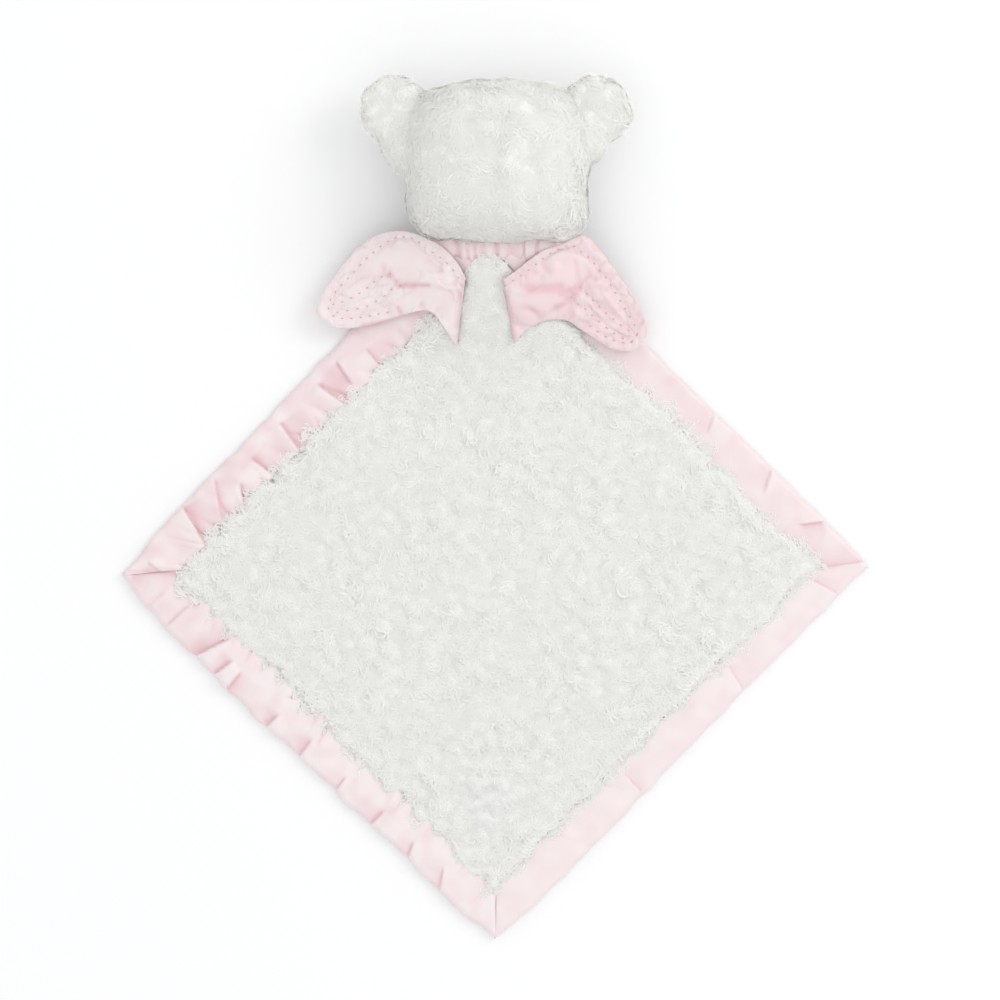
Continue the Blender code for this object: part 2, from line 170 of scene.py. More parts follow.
# %% Helpers for node trees
def sums(operation):
    """An operator's two methods, for a wire on its left and for a wire on its right."""

    def forward(self, other):
        return self.sum_with(operation, self, other)

    def reflected(self, other):
        return self.sum_with(operation, other, self)

    return forward, reflected


class Wire:
    """An output socket. A sum with it adds a Math node."""

    def __init__(self, graph, socket):
        self.graph = graph
        self.socket = socket

    def __getitem__(self, name):
        """Another output of the same node."""
        return Wire(self.graph, self.socket.node.outputs[name])

    def sum_with(self, operation, first, second):
        return self.graph.add("ShaderNodeMath", {"operation": operation}, {0: first, 1: second})

    __add__, __radd__ = sums("ADD")
    __sub__, __rsub__ = sums("SUBTRACT")
    __mul__, __rmul__ = sums("MULTIPLY")
    __truediv__, __rtruediv__ = sums("DIVIDE")
    __pow__, __rpow__ = sums("POWER")


class Graph:
    """A node tree that is being built."""

    def __init__(self, tree):
        self.tree = tree

    def add(self, kind, settings=None, inputs=None, output=0):
        """A node of a kind. settings are set first, then inputs by name or number."""
        node = self.tree.nodes.new(kind)
        for name, value in (settings or {}).items():
            setattr(node, name, value)
        for name, value in (inputs or {}).items():
            self.feed(node.inputs[name], value)
        return Wire(self, node.outputs[output])

    def feed(self, socket, value):
        """Links a wire to a socket, or sets the socket's value."""
        if isinstance(value, Wire):
            self.tree.links.new(value.socket, socket)
        else:
            socket.default_value = value

    def mix(self, first, second, share):
        """A colour between two others."""
        inputs = {"Factor": share, 6: first, 7: second}
        return self.add("ShaderNodeMix", {"data_type": "RGBA"}, inputs, 2)

    def finish(self, geometry, material):
        """Ends a geometry tree: gives the geometry its material, and sends it out."""
        inputs = {"Geometry": geometry, "Material": material}
        painted = self.add("GeometryNodeSetMaterial", {}, inputs)
        self.feed(self.tree.nodes.new("NodeGroupOutput").inputs[0], painted)

    def show(self, shader):
        """Makes a shader the surface of the graph's material."""
        self.feed(self.tree.nodes["Material Output"].inputs["Surface"], shader)

    def attribute(self, name, kind="FLOAT"):
        """What the geometry carries under a name, in a geometry tree."""
        return self.add("GeometryNodeInputNamedAttribute", {"data_type": kind}, {"Name": name})

    def position(self):
        """The place of a point on its object."""
        return self.add("ShaderNodeTexCoord")["Object"]

    def noise(self, vector, scale, detail=2.0):
        inputs = {"Vector": vector, "Scale": scale, "Detail": detail}
        return self.add("ShaderNodeTexNoise", {}, inputs)

    def roughen(self, shader, strength, distance, height):
        """Gives a surface shader a height as bump."""
        inputs = {"Strength": strength, "Distance": distance, "Height": height}
        self.feed(shader.inputs["Normal"], self.add("ShaderNodeBump", {}, inputs))

    def random_value(self, seed, low=0.0, high=1.0):
        """A number from low to high for each point."""
        inputs = {2: low, 3: high, "Seed": seed}
        return self.add("FunctionNodeRandomValue", {"data_type": "FLOAT"}, inputs, 1)

    def stored(self, geometry, name, kind, domain, value):
        """A geometry that carries a value under a name."""
        settings = {"data_type": kind, "domain": domain}
        inputs = {"Geometry": geometry, "Name": name, "Value": value}
        return self.add("GeometryNodeStoreNamedAttribute", settings, inputs)

    def aligned(self, axis, vector, pivot="AUTO", **rotation):
        """A rotation that turns an axis to a vector, after another rotation if one is given."""
        settings = {"axis": axis, "pivot_axis": pivot}
        inputs = {"Vector": vector, **rotation}
        return self.add("FunctionNodeAlignRotationToVector", settings, inputs)


def new_material(name):
    """A material and its graph."""
    material = bpy.data.materials.new(name)
    material.use_nodes = True
    return material, Graph(material.node_tree)


def new_finish(name, **constants):
    """A material, its graph and its Principled shader, with the shader's constants set."""
    material, graph = new_material(name)
    shader = graph.tree.nodes["Principled BSDF"]
    for socket_name, value in constants.items():
        shader.inputs[socket_name.replace("_", " ")].default_value = value
    return material, graph, shader


def geometry_tree(name, inputs, output):
    """An empty geometry tree: its graph, its inputs as wires, and their identifiers."""
    tree = bpy.data.node_groups.new(name, "GeometryNodeTree")
    identifiers = {}
    for label, kind in inputs.items():
        kind = f"NodeSocket{kind}"
        socket = tree.interface.new_socket(name=label, in_out="INPUT", socket_type=kind)
        identifiers[label] = socket.identifier
    tree.interface.new_socket(name=output, in_out="OUTPUT", socket_type="NodeSocketGeometry")
    graph = Graph(tree)
    return graph, graph.add("NodeGroupInput"), identifiers


print("node helpers ready")

# %% [markdown]
# The floor mixes two colours of one plain diffuse surface: a light grey for the light that
# bounces between floor and toy, and a lighter one, which this light brings up to white, for
# rays from the camera and from shiny surfaces.

# %% Floor
floor_size = 6.0
floor_drop = 0.0006
floor_colour = (0.90, 0.90, 0.90, 1.0)
floor_seen_colour = (0.955, 0.955, 0.955, 1.0)
floor_material, floor_graph = new_material("pale_floor")
rays = floor_graph.add("ShaderNodeLightPath")
seen = rays.sum_with("MAXIMUM", rays["Is Camera Ray"], rays["Is Glossy Ray"])
colour_by_ray = floor_graph.mix(floor_colour, floor_seen_colour, seen)
floor_graph.show(floor_graph.add("ShaderNodeBsdfDiffuse", {}, {"Color": colour_by_ray}))
bpy.ops.mesh.primitive_plane_add(size=floor_size, location=(0.0, 0.0, -floor_drop))
floor = bpy.context.object
floor.name = "floor"
floor.data.materials.append(floor_material)
print("floor ready")

# %% [markdown]
# ## Plush
#
# Plush is a knitted backing with a pile of fine curly strands that clump into locks. At this
# size a strand is about as wide as a pixel, and a lock about ten. The pile could be hair
# curves, but they don't come through to a plain mesh. So a lock is modelled once as a few
# tapered strands that share one curl, and Geometry Nodes scatter thousands of locks over the
# backing, each turned along a combed direction.
#
# A strand's shade depends on only two things: which lock it is in and how near its tip it is.
# Both are written to a UV map, so one small picture can hold every shade of the pile.


# %% Smooth steps and the shape of the drape
def eased(t):
    """A smooth step from 0 to 1, for numbers and arrays."""
    t = np.clip(t, 0.0, 1.0)
    return t * t * (3.0 - 2.0 * t)


def drape_rise(x, y):
    """How far the neck lifts the blanket above the floor."""
    distance = np.maximum(np.hypot(x, y - neck.y) - drape_flat_radius, 0.0)
    rise = neck.z - binding_height / 2.0
    return rise * eased(1.0 - distance / (drape_radius - drape_flat_radius))


def edge_depth(x, y):
    """Distance of a point from the nearest edge of the blanket."""
    along = np.abs(x + y) / diagonal
    across = np.abs(y - x) / diagonal
    return half_side - np.maximum(along, across)


def noise_at(x, y, scale, seed=0.0):
    """Smooth noise from -1 to 1 at arrays of places, with lumps of about a given size."""
    flat = [
        noise.noise(Vector((a / scale, b / scale, seed))) for a, b in zip(np.ravel(x), np.ravel(y))
    ]
    return np.array(flat).reshape(np.shape(x)) * 2.0


print("drape at the neck:", round(float(drape_rise(0.0, neck.y)), 4))


# %% Making and editing meshes
def mesh_object(name, points, faces, material=None, edges=()):
    """An object whose mesh has these points and faces."""
    mesh = bpy.data.meshes.new(name)
    mesh.from_pydata([tuple(p) for p in np.reshape(points, (-1, 3))], edges, faces)
    if material:
        mesh.materials.append(material)
    mesh.shade_smooth()
    return linked(name, mesh)


@contextmanager
def editing(mesh):
    """Opens a mesh for edits, and writes them back."""
    bm = bmesh.new()
    bm.from_mesh(mesh)
    yield bm
    bm.to_mesh(mesh)
    bm.free()


def grid_faces(rows, columns, start=0):
    """Quads between the points of a grid, counted row by row."""
    corners = (0, columns, columns + 1, 1)
    firsts = [start + r * columns + c for r in range(rows - 1) for c in range(columns - 1)]
    return [tuple(first + corner for corner in corners) for first in firsts]


def slab_mesh(name, low, high, material):
    """A closed slab between a lower and an upper grid of points."""
    rows, columns = low.shape[:2]
    above = rows * columns
    index = np.arange(above).reshape(rows, columns)
    sides = [index[:-1, 0], index[-1, :-1], index[:0:-1, -1], index[0, :0:-1]]
    rim = np.concatenate(sides).tolist()
    faces = grid_faces(rows, columns) + [face[::-1] for face in grid_faces(rows, columns, above)]
    faces += [(a, b, above + b, above + a) for a, b in zip(rim, rim[1:] + rim[:1])]
    return mesh_object(name, np.concatenate([low, high]), faces, material)


def add_attribute(made, name, kind, values):
    """Stores an array as a point attribute: kind is FLOAT or FLOAT_VECTOR."""
    attribute = made.data.attributes.new(name, kind, "POINT")
    field = "vector" if kind == "FLOAT_VECTOR" else "value"
    attribute.data.foreach_set(field, np.ravel(values).astype(np.float32))


merge_distance = 0.00001


def outward(made):
    """Merges doubles and turns the faces of a closed mesh outwards."""
    with editing(made.data) as bm:
        bmesh.ops.remove_doubles(bm, verts=bm.verts, dist=merge_distance)
        bmesh.ops.recalc_face_normals(bm, faces=bm.faces)
    made.data.shade_smooth()


def plain_mesh(made):
    """Replaces an object's mesh by its evaluated one and removes its modifiers."""
    graph = bpy.context.evaluated_depsgraph_get()
    mesh = bpy.data.meshes.new_from_object(made.evaluated_get(graph))
    made.modifiers.clear()
    made.data = mesh
    return made


def cut(bm, at, away):
    """Drops what lies beyond a plane, on the side that it looks to."""
    everything = bm.verts[:] + bm.edges[:] + bm.faces[:]
    bmesh.ops.bisect_plane(bm, geom=everything, plane_co=at, plane_no=away, clear_outer=True)


def cut_and_fill(made, cuts):
    """Cuts a closed mesh by planes, drops what lies beyond each, and closes it again."""
    with editing(made.data) as bm:
        for at, away in cuts:
            cut(bm, at, away)
            bmesh.ops.holes_fill(bm, edges=[e for e in bm.edges if e.is_boundary], sides=0)
        bmesh.ops.triangulate(bm, faces=[f for f in bm.faces if len(f.verts) > 4])
        bmesh.ops.recalc_face_normals(bm, faces=bm.faces)
    made.data.shade_smooth()


def add_weave(made, along, across):
    """A UV map in metres along and across the cloth, from one value of each for each point."""
    layer = made.data.uv_layers.new(name="weave")
    loops = np.array([loop.vertex_index for loop in made.data.loops])
    uv = np.stack([np.ravel(along)[loops], np.ravel(across)[loops]], axis=-1)
    layer.data.foreach_set("uv", uv.astype(np.float32).ravel())


def blurred(values, reach):
    """A grid of values, smoothed along both of its sides."""
    kernel = np.hanning(2 * reach + 3)[1:-1]
    kernel = kernel / kernel.sum()

    def blur(line):
        return np.convolve(np.pad(line, reach, mode="edge"), kernel, "valid")

    for axis in (0, 1):
        values = np.apply_along_axis(blur, axis, values)
    return values


def hollows(height, reach, depth):
    """From 0 to 1, how deep each point of a grid lies below the places round it."""
    return eased((blurred(height, reach) - height) / depth)


print("mesh helpers ready")


# %% One lock of the pile
root_spread, heading_spread, roll_spread = 0.27, 0.42, 0.08
size_range, twist_range = (0.70, 1.15), (0.7, 1.2)
lift_range, gather_range = (0.6, 1.2), (0.35, 0.65)


def lock(name, strands, length, width, curl, rise, steps, seed):
    """A lock: tapered ribbons that rise, lean along +X and curl over together."""
    random = np.random.default_rng(seed)
    points, faces, tips, sides = [], [], [], []
    side_turn = (-1.0) ** seed
    for _ in range(strands):
        root = random.normal(0.0, root_spread * length, 2)
        heading = random.normal(0.0, heading_spread)
        size = length * random.uniform(*size_range)
        twist = side_turn * curl * random.uniform(*twist_range)
        roll = random.normal(0.0, roll_spread)
        lift = rise * random.uniform(*lift_range)
        gather = random.uniform(*gather_range)
        start = len(points)
        for share in np.linspace(0.0, 1.0, steps + 1):
            turn = heading + twist * share
            lean = size * (0.55 * share + 0.35 * share**2)
            ahead = lean * np.array((math.cos(turn), math.sin(turn)))
            up = size * lift * (share - 0.86 * share**2)
            centre = Vector((*(root * (1.0 - gather * share) + ahead), up))
            bend = turn + twist * share
            across = Vector((-math.sin(bend), math.cos(bend), 0.0)) * math.cos(roll)
            across += Vector((0.0, 0.0, math.sin(roll)))
            across *= 0.5 * width * (0.75 + 0.9 * share - 1.35 * share**2)
            ends = [centre] if share == 1.0 else [centre - across, centre + across]
            points += ends
            tips += [share] * len(ends)
            sides += [0.0, 1.0][: len(ends)]
        last = start + 2 * (steps - 1)
        faces += [(a, a + 2, a + 3, a + 1) for a in range(start, last, 2)]
        faces.append((last, last + 2, last + 1))
    made = mesh_object(name, points, faces)
    add_attribute(made, "tip_share", "FLOAT", tips)
    add_attribute(made, "side_share", "FLOAT", sides)
    return made


def lock_kinds(name, count, strands, length, width, curl, rise, steps):
    """A hidden collection of locks that differ."""
    kinds = bpy.data.collections.new(name)
    for number in range(count):
        made = lock(f"{name}_{number}", strands, length, width, curl, rise, steps, number + 1)
        bpy.context.scene.collection.objects.unlink(made)
        kinds.objects.link(made)
    return kinds


field_locks = lock_kinds("field_lock", 10, 11, 0.0066, 0.00090, 1.3, 0.16, 4)
head_locks = lock_kinds("head_lock", 10, 12, 0.0076, 0.00090, 1.2, 0.15, 4)
fringe_locks = lock_kinds("fringe_lock", 6, 9, 0.0050, 0.00080, 1.0, 0.50, 3)
short_locks = lock_kinds("short_lock", 6, 8, 0.0040, 0.00080, 1.3, 0.55, 3)
print("faces in a lock:", [len(k.objects[0].data.polygons) for k in (field_locks, head_locks)])

# %% [markdown]
# The tree scatters points at least a spacing apart, stands a lock on each, turns it so that
# its lean follows the combed direction that the backing carries in an attribute, and varies
# its length. At the end it writes the UV map: how grey the lock is one way, how near the tip
# the other.


# %% The tree that plants the pile
def pile_tree():
    """The tree, with the identifiers of its inputs."""
    inputs = {
        "Backing": "Geometry",
        "Spacing": "Float",
        "Locks": "Collection",
        "Length Spread": "Float",
        "Comb Spread": "Float",
        "Seed": "Int",
        "Finish": "Material",
    }
    graph, given, identifiers = geometry_tree("plant_pile", inputs, "Pile")
    spacing, seed, length_spread = given["Spacing"], given["Seed"], given["Length Spread"]
    points = graph.add(
        "GeometryNodeDistributePointsOnFaces",
        {"distribute_method": "POISSON"},
        {
            "Mesh": given["Backing"],
            "Distance Min": spacing,
            "Density Max": 1.6 / (spacing * spacing),
            "Seed": seed,
        },
    )
    spread = graph.add("ShaderNodeCombineXYZ", {}, {i: given["Comb Spread"] for i in range(3)})
    stray = graph.add(
        "FunctionNodeRandomValue",
        {"data_type": "FLOAT_VECTOR"},
        {0: (-1.0, -1.0, -1.0), 1: (1.0, 1.0, 1.0), "Seed": seed},
    )
    strayed = graph.add(
        "ShaderNodeVectorMath",
        {"operation": "MULTIPLY_ADD"},
        {0: stray, 1: spread, 2: graph.attribute("comb", "FLOAT_VECTOR")},
    )
    upright = graph.aligned("Z", points["Normal"])
    size_share = graph.random_value(seed + 1.0, 1.0 - length_spread, 1.0 + length_spread)
    kinds = graph.add(
        "GeometryNodeCollectionInfo",
        {"transform_space": "ORIGINAL"},
        {"Collection": given["Locks"], "Separate Children": True, "Reset Children": True},
    )
    planted = graph.add(
        "GeometryNodeInstanceOnPoints",
        {},
        {
            "Points": points,
            "Instance": kinds,
            "Pick Instance": True,
            "Rotation": graph.aligned("X", strayed, "Z", Rotation=upright),
            "Scale": size_share * graph.attribute("length_share"),
        },
    )
    toned = graph.stored(planted, "tone", "FLOAT", "INSTANCE", graph.random_value(seed + 2.0))
    real = graph.add("GeometryNodeRealizeInstances", {}, {"Geometry": toned})
    grey = 0.09 * graph.attribute("tone") + 0.90 * graph.attribute("greyness")
    across = 0.005 + grey + 0.005 * graph.attribute("side_share")
    upwards = 0.02 + 0.96 * graph.attribute("tip_share")
    shade_map = graph.add("ShaderNodeCombineXYZ", {}, {0: across, 1: upwards})
    mapped = graph.stored(real, "OFBake", "FLOAT2", "CORNER", shade_map)
    smooth = graph.add("GeometryNodeSetShadeSmooth", {}, {"Geometry": mapped})
    graph.finish(smooth, given["Finish"])
    return graph.tree, identifiers


plant_pile, pile_inputs = pile_tree()


def run_tree(made, tree, identifiers, values):
    """Runs a Geometry Nodes tree on an object, and keeps the result as its plain mesh."""
    modifier = made.modifiers.new(tree.name, "NODES")
    modifier.node_group = tree
    for name, value in values.items():
        modifier[identifiers[name]] = value
    return plain_mesh(made)


print("pile tree:", len(plant_pile.nodes), "nodes")

# %% [markdown]
# The pile is cream white, and turns to a bluish grey in the locks that the grey share picks.
# Only the UV map feeds the colour. Fibres are clear enough to pass light on to those behind
# them, so a plain surface shader is mixed with a Translucent one.


# %% Finishes of the plush
def plush_finish(name, deep, grey, tip):
    """The pile: deep at its roots, with tips that run from tip to grey by how grey a lock is."""
    material, graph, shader = new_finish(
        name, Roughness=0.92, Sheen_Weight=0.2, Sheen_Roughness=0.6
    )
    uv = graph.add("ShaderNodeUVMap", {"uv_map": "OFBake"})
    parts = graph.add("ShaderNodeSeparateXYZ", {}, {0: uv})
    ends = graph.mix(tip, grey, parts["X"])
    colour = graph.mix(deep, ends, parts["Y"] ** 0.6)
    graph.feed(shader.inputs["Base Color"], colour)
    through = graph.add("ShaderNodeBsdfTranslucent", {}, {"Color": colour})
    surfaces = {0: 0.32, 1: Wire(graph, shader.outputs[0]), 2: through}
    graph.show(graph.add("ShaderNodeMixShader", {}, surfaces))
    return material


def backing_finish(name, colour, dark):
    """The knitted backing between the locks, with a fine knit as bump."""
    material, graph, shader = new_finish(name, Roughness=0.95, Sheen_Weight=0.2)
    where = graph.position()
    graph.feed(shader.inputs["Base Color"], graph.mix(dark, colour, graph.noise(where, 120.0)))
    graph.roughen(shader, 0.4, 0.001, graph.noise(where, 900.0, 3.0))
    return material


pile_white = plush_finish(
    "white_pile", (0.990, 0.985, 0.958, 1.0), (0.904, 0.902, 0.920, 1.0), (0.988, 0.986, 0.958, 1.0)
)
# The panels' backing is painted darker, as painted shade for the depth among the locks where it
# shows through.
backing_painted_shade = backing_finish(
    "plush_backing_painted_shade", (0.850, 0.845, 0.818, 1.0), (0.830, 0.825, 0.798, 1.0)
)
# The head's backing is painted lighter than the panels', as painted light in the narrow gaps along
# the head's outline.
skin_painted_light = backing_finish(
    "head_backing_painted_light", (0.900, 0.895, 0.868, 1.0), (0.885, 0.880, 0.853, 1.0)
)
print("plush finishes:", pile_white.name, backing_painted_shade.name, skin_painted_light.name)

# %% [markdown]
# ## The blanket's two panels
#
# Each panel is a cloth of plush, laid flat, and lifted at one corner where it climbs to the
# neck. Its backing is a closed slab, whose upper face is lumpy as soft goods are. At its rim
# it swells over the satin, by a few millimetres more or less, as it does on the real blanket.


# %% Backing of the panels
strip_middle = place((487.0, 257.0))
strip_half_width = 0.0130
strip_flat, strip_fade = 0.0015, 0.0025
strip_start, strip_run = 0.150, 0.020
rim_means = np.array([0.0050, 0.0010, 0.0045, 0.0014])
rim_spreads = np.array([0.0030, 0.0030, 0.0042, 0.0020])
panel_inset = 0.0026
neck_cut_gap = 0.0004
rim_wander_size = 0.013
rim_top = 0.0028
swell_height = back_top - 0.0038
swell_over, swell_run = 0.001, 0.006
wide_lump_size, wide_lump_height = 0.021, 0.0005
small_lump_size, small_lump_height = 0.0080, 0.0008
seam_at_rim, seam_rise, seam_run = 0.0022, 0.0016, 0.012
seam_gap = 0.0002
front_clearance = 0.0014


def turned_grid(along_steps, across_steps):
    """Places of a grid whose sides lie along the sides of the blanket."""
    along, across = np.meshgrid(along_steps, across_steps, indexing="ij")
    return (along - across) / diagonal, (along + across) / diagonal


def strip_share(x, y):
    """1 where the plush runs up between the wings as a strip with a round end, else 0."""
    beside = np.maximum(np.abs(x - strip_middle.x) - strip_flat, 0.0)
    above = np.maximum(y - strip_middle.y + strip_half_width, 0.0)
    away = np.hypot(beside, above)
    return eased((strip_half_width - away) / strip_fade) * eased((y - strip_start) / strip_run)


def nearest_edge(x, y):
    """Which edge is nearest: 0 is the upper right one, and the others follow to the left."""
    along, across = x + y, y - x
    beside_along = np.where(along > 0.0, 0, 2)
    return np.where(np.abs(along) > np.abs(across), beside_along, np.where(across > 0.0, 1, 3))


def rim_shift(x, y):
    """How far the edge of the pile wanders outwards over the satin."""
    edge = nearest_edge(x, y)
    shift = rim_means[edge] + rim_spreads[edge] * noise_at(x, y, rim_wander_size, 13.0)
    return shift * (1.0 - eased((y - strip_start) / strip_run))


def back_height(x, y):
    """Height of the back panel's backing, which swells a little over the satin."""
    inside = edge_depth(x, y) + rim_shift(x, y) - binding_width
    swell = np.maximum(eased((inside + swell_over) / swell_run), strip_share(x, y))
    wide_lumps = wide_lump_height * noise_at(x, y, wide_lump_size)
    small_lumps = small_lump_height * noise_at(x, y, small_lump_size, 3.0)
    return rim_top + drape_rise(x, y) + swell * (swell_height + (wide_lumps + small_lumps))


def panel_slab(name, bottom, top, count, material):
    """A panel as a closed slab between two height functions, cut off at the neck."""
    reach = half_side - panel_inset
    steps = np.linspace(-reach, reach, count)
    x, y = turned_grid(steps, steps)
    low, high = [np.stack([x, y, height(x, y)], axis=-1) for height in (bottom, top)]
    made = slab_mesh(name, low, high, material)
    cut_and_fill(made, [(neck - Vector((0.0, neck_cut_gap, 0.0)), (0.0, 1.0, 0.0))])
    return made


def seam_plane(x, y):
    """Where the two panels meet."""
    rise = seam_rise * eased((edge_depth(x, y) - binding_width) / seam_run)
    return seam_at_rim + drape_rise(x, y) + rise


def front_bottom(x, y):
    """Under side of the front panel's backing, which its short pile keeps off the floor."""
    return front_clearance + drape_rise(x, y)


def front_top(x, y):
    return seam_plane(x, y) - seam_gap


def back_bottom(x, y):
    return seam_plane(x, y) + seam_gap


back_panel = panel_slab("back_panel_backing", back_bottom, back_height, 180, backing_painted_shade)
front_panel = panel_slab("front_panel_backing", front_bottom, front_top, 120, backing_painted_shade)
print("panels:", len(back_panel.data.polygons), len(front_panel.data.polygons), "faces")

# %% [markdown]
# The pile is planted patch by patch, because a piece with too many faces is hard to handle.
# A patch is a bare grid that carries three things for each point: the combed direction, the
# length of the pile and how grey it is. The comb swirls slowly, and turns outwards beside the
# binding, so that the locks fall over its edge as they do on the real blanket. Near the bottom
# corner the pile lies flatter and greyer over a round patch. Stitching on the front has pulled
# it in at three small spots, which leave holes in the pile; round them the pile is shorter, and
# painted greyer, as painted shade for the dents.

# %% Pile of the panels
parted_spot = place((488.0, 800.0))
parted_radius = 0.034
parted_shorter, parted_greyer = 0.20, 0.40
pulled_spots = [place(spot) for spot in ((489.0, 781.0), (480.0, 801.0), (509.0, 805.0))]
pulled_radius = 0.0030
pulled_reach = 0.009
# Round the pulled spots the pile is painted greyer, as painted shade for the dents.
pulled_shorter, pulled_painted_shade = 0.25, 0.30
rim_overlap, rim_reach = 0.0026, 0.018
rim_height = 0.0051
edge_start, edge_run = 0.002, 0.010
outward_comb = 1.3
patch_spacing = 0.0026
field_end = 0.184
field_grey, field_grey_spread, field_grey_size = 0.018, 0.030, 0.040
field_length_spread, field_length_size, length_limits = 0.16, 0.014, (0.45, 1.4)


def comb_at(x, y, swirl=0.030, seed=7.0):
    """Combed directions at arrays of places: a slow swirl."""
    angle = math.pi * (noise_at(x, y, swirl, seed) * 1.6 + noise_at(x, y, swirl * 3.0, seed + 5.0))
    return np.stack([np.cos(angle), np.sin(angle), np.zeros_like(angle)], axis=-1)


def outward_from_middle(x, y):
    """The direction towards the nearest edge of the blanket."""
    along = (x + y) / diagonal
    across = (y - x) / diagonal
    nearer_along = np.abs(along) > np.abs(across)
    a = np.where(nearer_along, np.sign(along), 0.0)
    b = np.where(nearer_along, 0.0, np.sign(across))
    return np.stack([(a - b) / diagonal, (a + b) / diagonal, np.zeros_like(a)], axis=-1)


def carry(made, comb, length, greyness):
    """Stores what the pile tree reads at each point of a bare patch."""
    add_attribute(made, "comb", "FLOAT_VECTOR", comb)
    add_attribute(made, "length_share", "FLOAT", length)
    add_attribute(made, "greyness", "FLOAT", greyness)


def field_patch(name, rows, columns, height, facing, edge_length):
    """A bare patch of the pile's field, from shares of its sides: facing is 1 up, -1 down."""
    reach = half_side - binding_width + rim_overlap
    steps = [
        np.arange(first * reach, last * reach + patch_spacing / 2.0, patch_spacing)
        for first, last in (rows, columns)
    ]
    x, y = turned_grid(*steps)
    inner = edge_depth(x, y) - binding_width
    at_rim = (1.0 - eased((inner + rim_overlap) / rim_reach)) * (facing > 0.0)
    shift = outward_from_middle(x, y) * (at_rim * rim_shift(x, y))[..., None]
    x, y = x + shift[..., 0], y + shift[..., 1]
    z = height(x, y)
    if facing > 0.0:
        z = np.maximum(z, rim_height + drape_rise(x, y))
    faces = grid_faces(*x.shape)
    if facing < 0.0:
        faces = [face[::-1] for face in faces]
    planted = (y < field_end) | (strip_share(x, y) > 0.5)
    from_pulled = np.min([np.hypot(x - spot.x, y - spot.y) for spot in pulled_spots], axis=0)
    planted &= (from_pulled > pulled_radius) | (facing < 0.0)
    kept = [face for face in faces if all(planted.flat[i] for i in face)]
    made = mesh_object(name, np.stack([x, y, z], axis=-1), kept)
    edge_share = 1.0 - eased((inner + edge_start) / edge_run)
    comb = comb_at(x, y) + outward_comb * edge_share[..., None] * outward_from_middle(x, y)
    parted = 1.0 - eased(np.hypot(x - parted_spot.x, y - parted_spot.y) / parted_radius)
    parted *= facing > 0.0
    spread = noise_at(x, y, field_length_size, 11.0)
    beside_pulled = (1.0 - eased(from_pulled / pulled_reach)) * (facing > 0.0)
    shorter = parted_shorter * parted + pulled_shorter * beside_pulled
    shorter = shorter + (1.0 - edge_length) * edge_share
    length = 1.0 + field_length_spread * spread - shorter
    greyness = field_grey + field_grey_spread * noise_at(x, y, field_grey_size, 21.0)
    greyness = greyness + parted_greyer * parted + pulled_painted_shade * beside_pulled
    carry(made, comb, np.clip(length, *length_limits), np.clip(greyness, 0.0, 1.0))
    return made


strip_spacing = 0.0015
strip_below, strip_above = 0.034, 0.001
strip_least_share = 0.35
strip_pile_length, strip_grey = 0.62, 0.015
strip_swirl, strip_comb_spread = 0.014, 0.8


def strip_patch(name):
    """The rounded end of the plush between the wings, which covers the binding's mitre."""
    rows = np.arange(strip_middle.y - strip_below, strip_middle.y + strip_above, strip_spacing)
    columns = np.arange(-strip_half_width, strip_half_width + strip_spacing, strip_spacing)
    columns = columns + strip_middle.x
    y, x = np.meshgrid(rows, columns, indexing="ij")
    share = strip_share(x, y)
    points = np.stack([x, y, back_height(x, y)], axis=-1)
    faces = [face[::-1] for face in grid_faces(len(rows), len(columns))]
    kept = [face for face in faces if min(share.flat[i] for i in face) > strip_least_share]
    made = mesh_object(name, points, kept)
    upwards = np.stack([(x - strip_middle.x) / strip_half_width, 0.5 + 0.0 * y, 0.0 * y], axis=-1)
    comb = comb_at(x, y, strip_swirl) + strip_comb_spread * upwards
    carry(made, comb, np.full(x.shape, strip_pile_length), np.full(x.shape, strip_grey))
    return made


def plant(made, spacing, locks, length_spread, comb_spread, seed):
    """Turns a bare patch into its pile."""
    values = {
        "Spacing": spacing,
        "Locks": locks,
        "Length Spread": length_spread,
        "Comb Spread": comb_spread,
        "Seed": seed,
        "Finish": pile_white,
    }
    return run_tree(made, plant_pile, pile_inputs, values)


back_spacing, strip_pile_spacing = 0.0025, 0.0026
thirds = [(-1.0, -1.0 / 3.0), (-1.0 / 3.0, 1.0 / 3.0), (1.0 / 3.0, 1.0)]
halves = [(-1.0, 0.0), (0.0, 1.0)]
back_pile = []
for number, (rows, columns) in enumerate((r, c) for r in thirds for c in halves):
    patch = field_patch(f"back_pile_{number + 1}", rows, columns, back_height, 1.0, 0.80)
    back_pile.append(plant(patch, back_spacing, field_locks, 0.22, 0.55, number))
strip = strip_patch("back_pile_strip")
back_pile.append(plant(strip, strip_pile_spacing, field_locks, 0.22, 0.45, 30))
print("back pile faces:", [len(p.data.polygons) for p in back_pile])


# %% Pile of the front panel, pressed flat under the blanket
front_rooting = 0.0002


def front_pile_height(x, y):
    """Just inside the backing's under side, so that the locks root in it."""
    return front_bottom(x, y) + front_rooting


front_pile = []
front_length, front_spacing = 0.42, 0.0052
for number, columns in enumerate(halves):
    name = f"front_pile_{number + 1}"
    patch = field_patch(name, (-1.0, 1.0), columns, front_pile_height, -1.0, 0.9)
    lengths = np.full(len(patch.data.vertices), front_length, np.float32)
    patch.data.attributes["length_share"].data.foreach_set("value", lengths)
    front_pile.append(plant(patch, front_spacing, short_locks, 0.15, 0.5, 40 + number))
print("front pile faces:", [len(p.data.polygons) for p in front_pile])
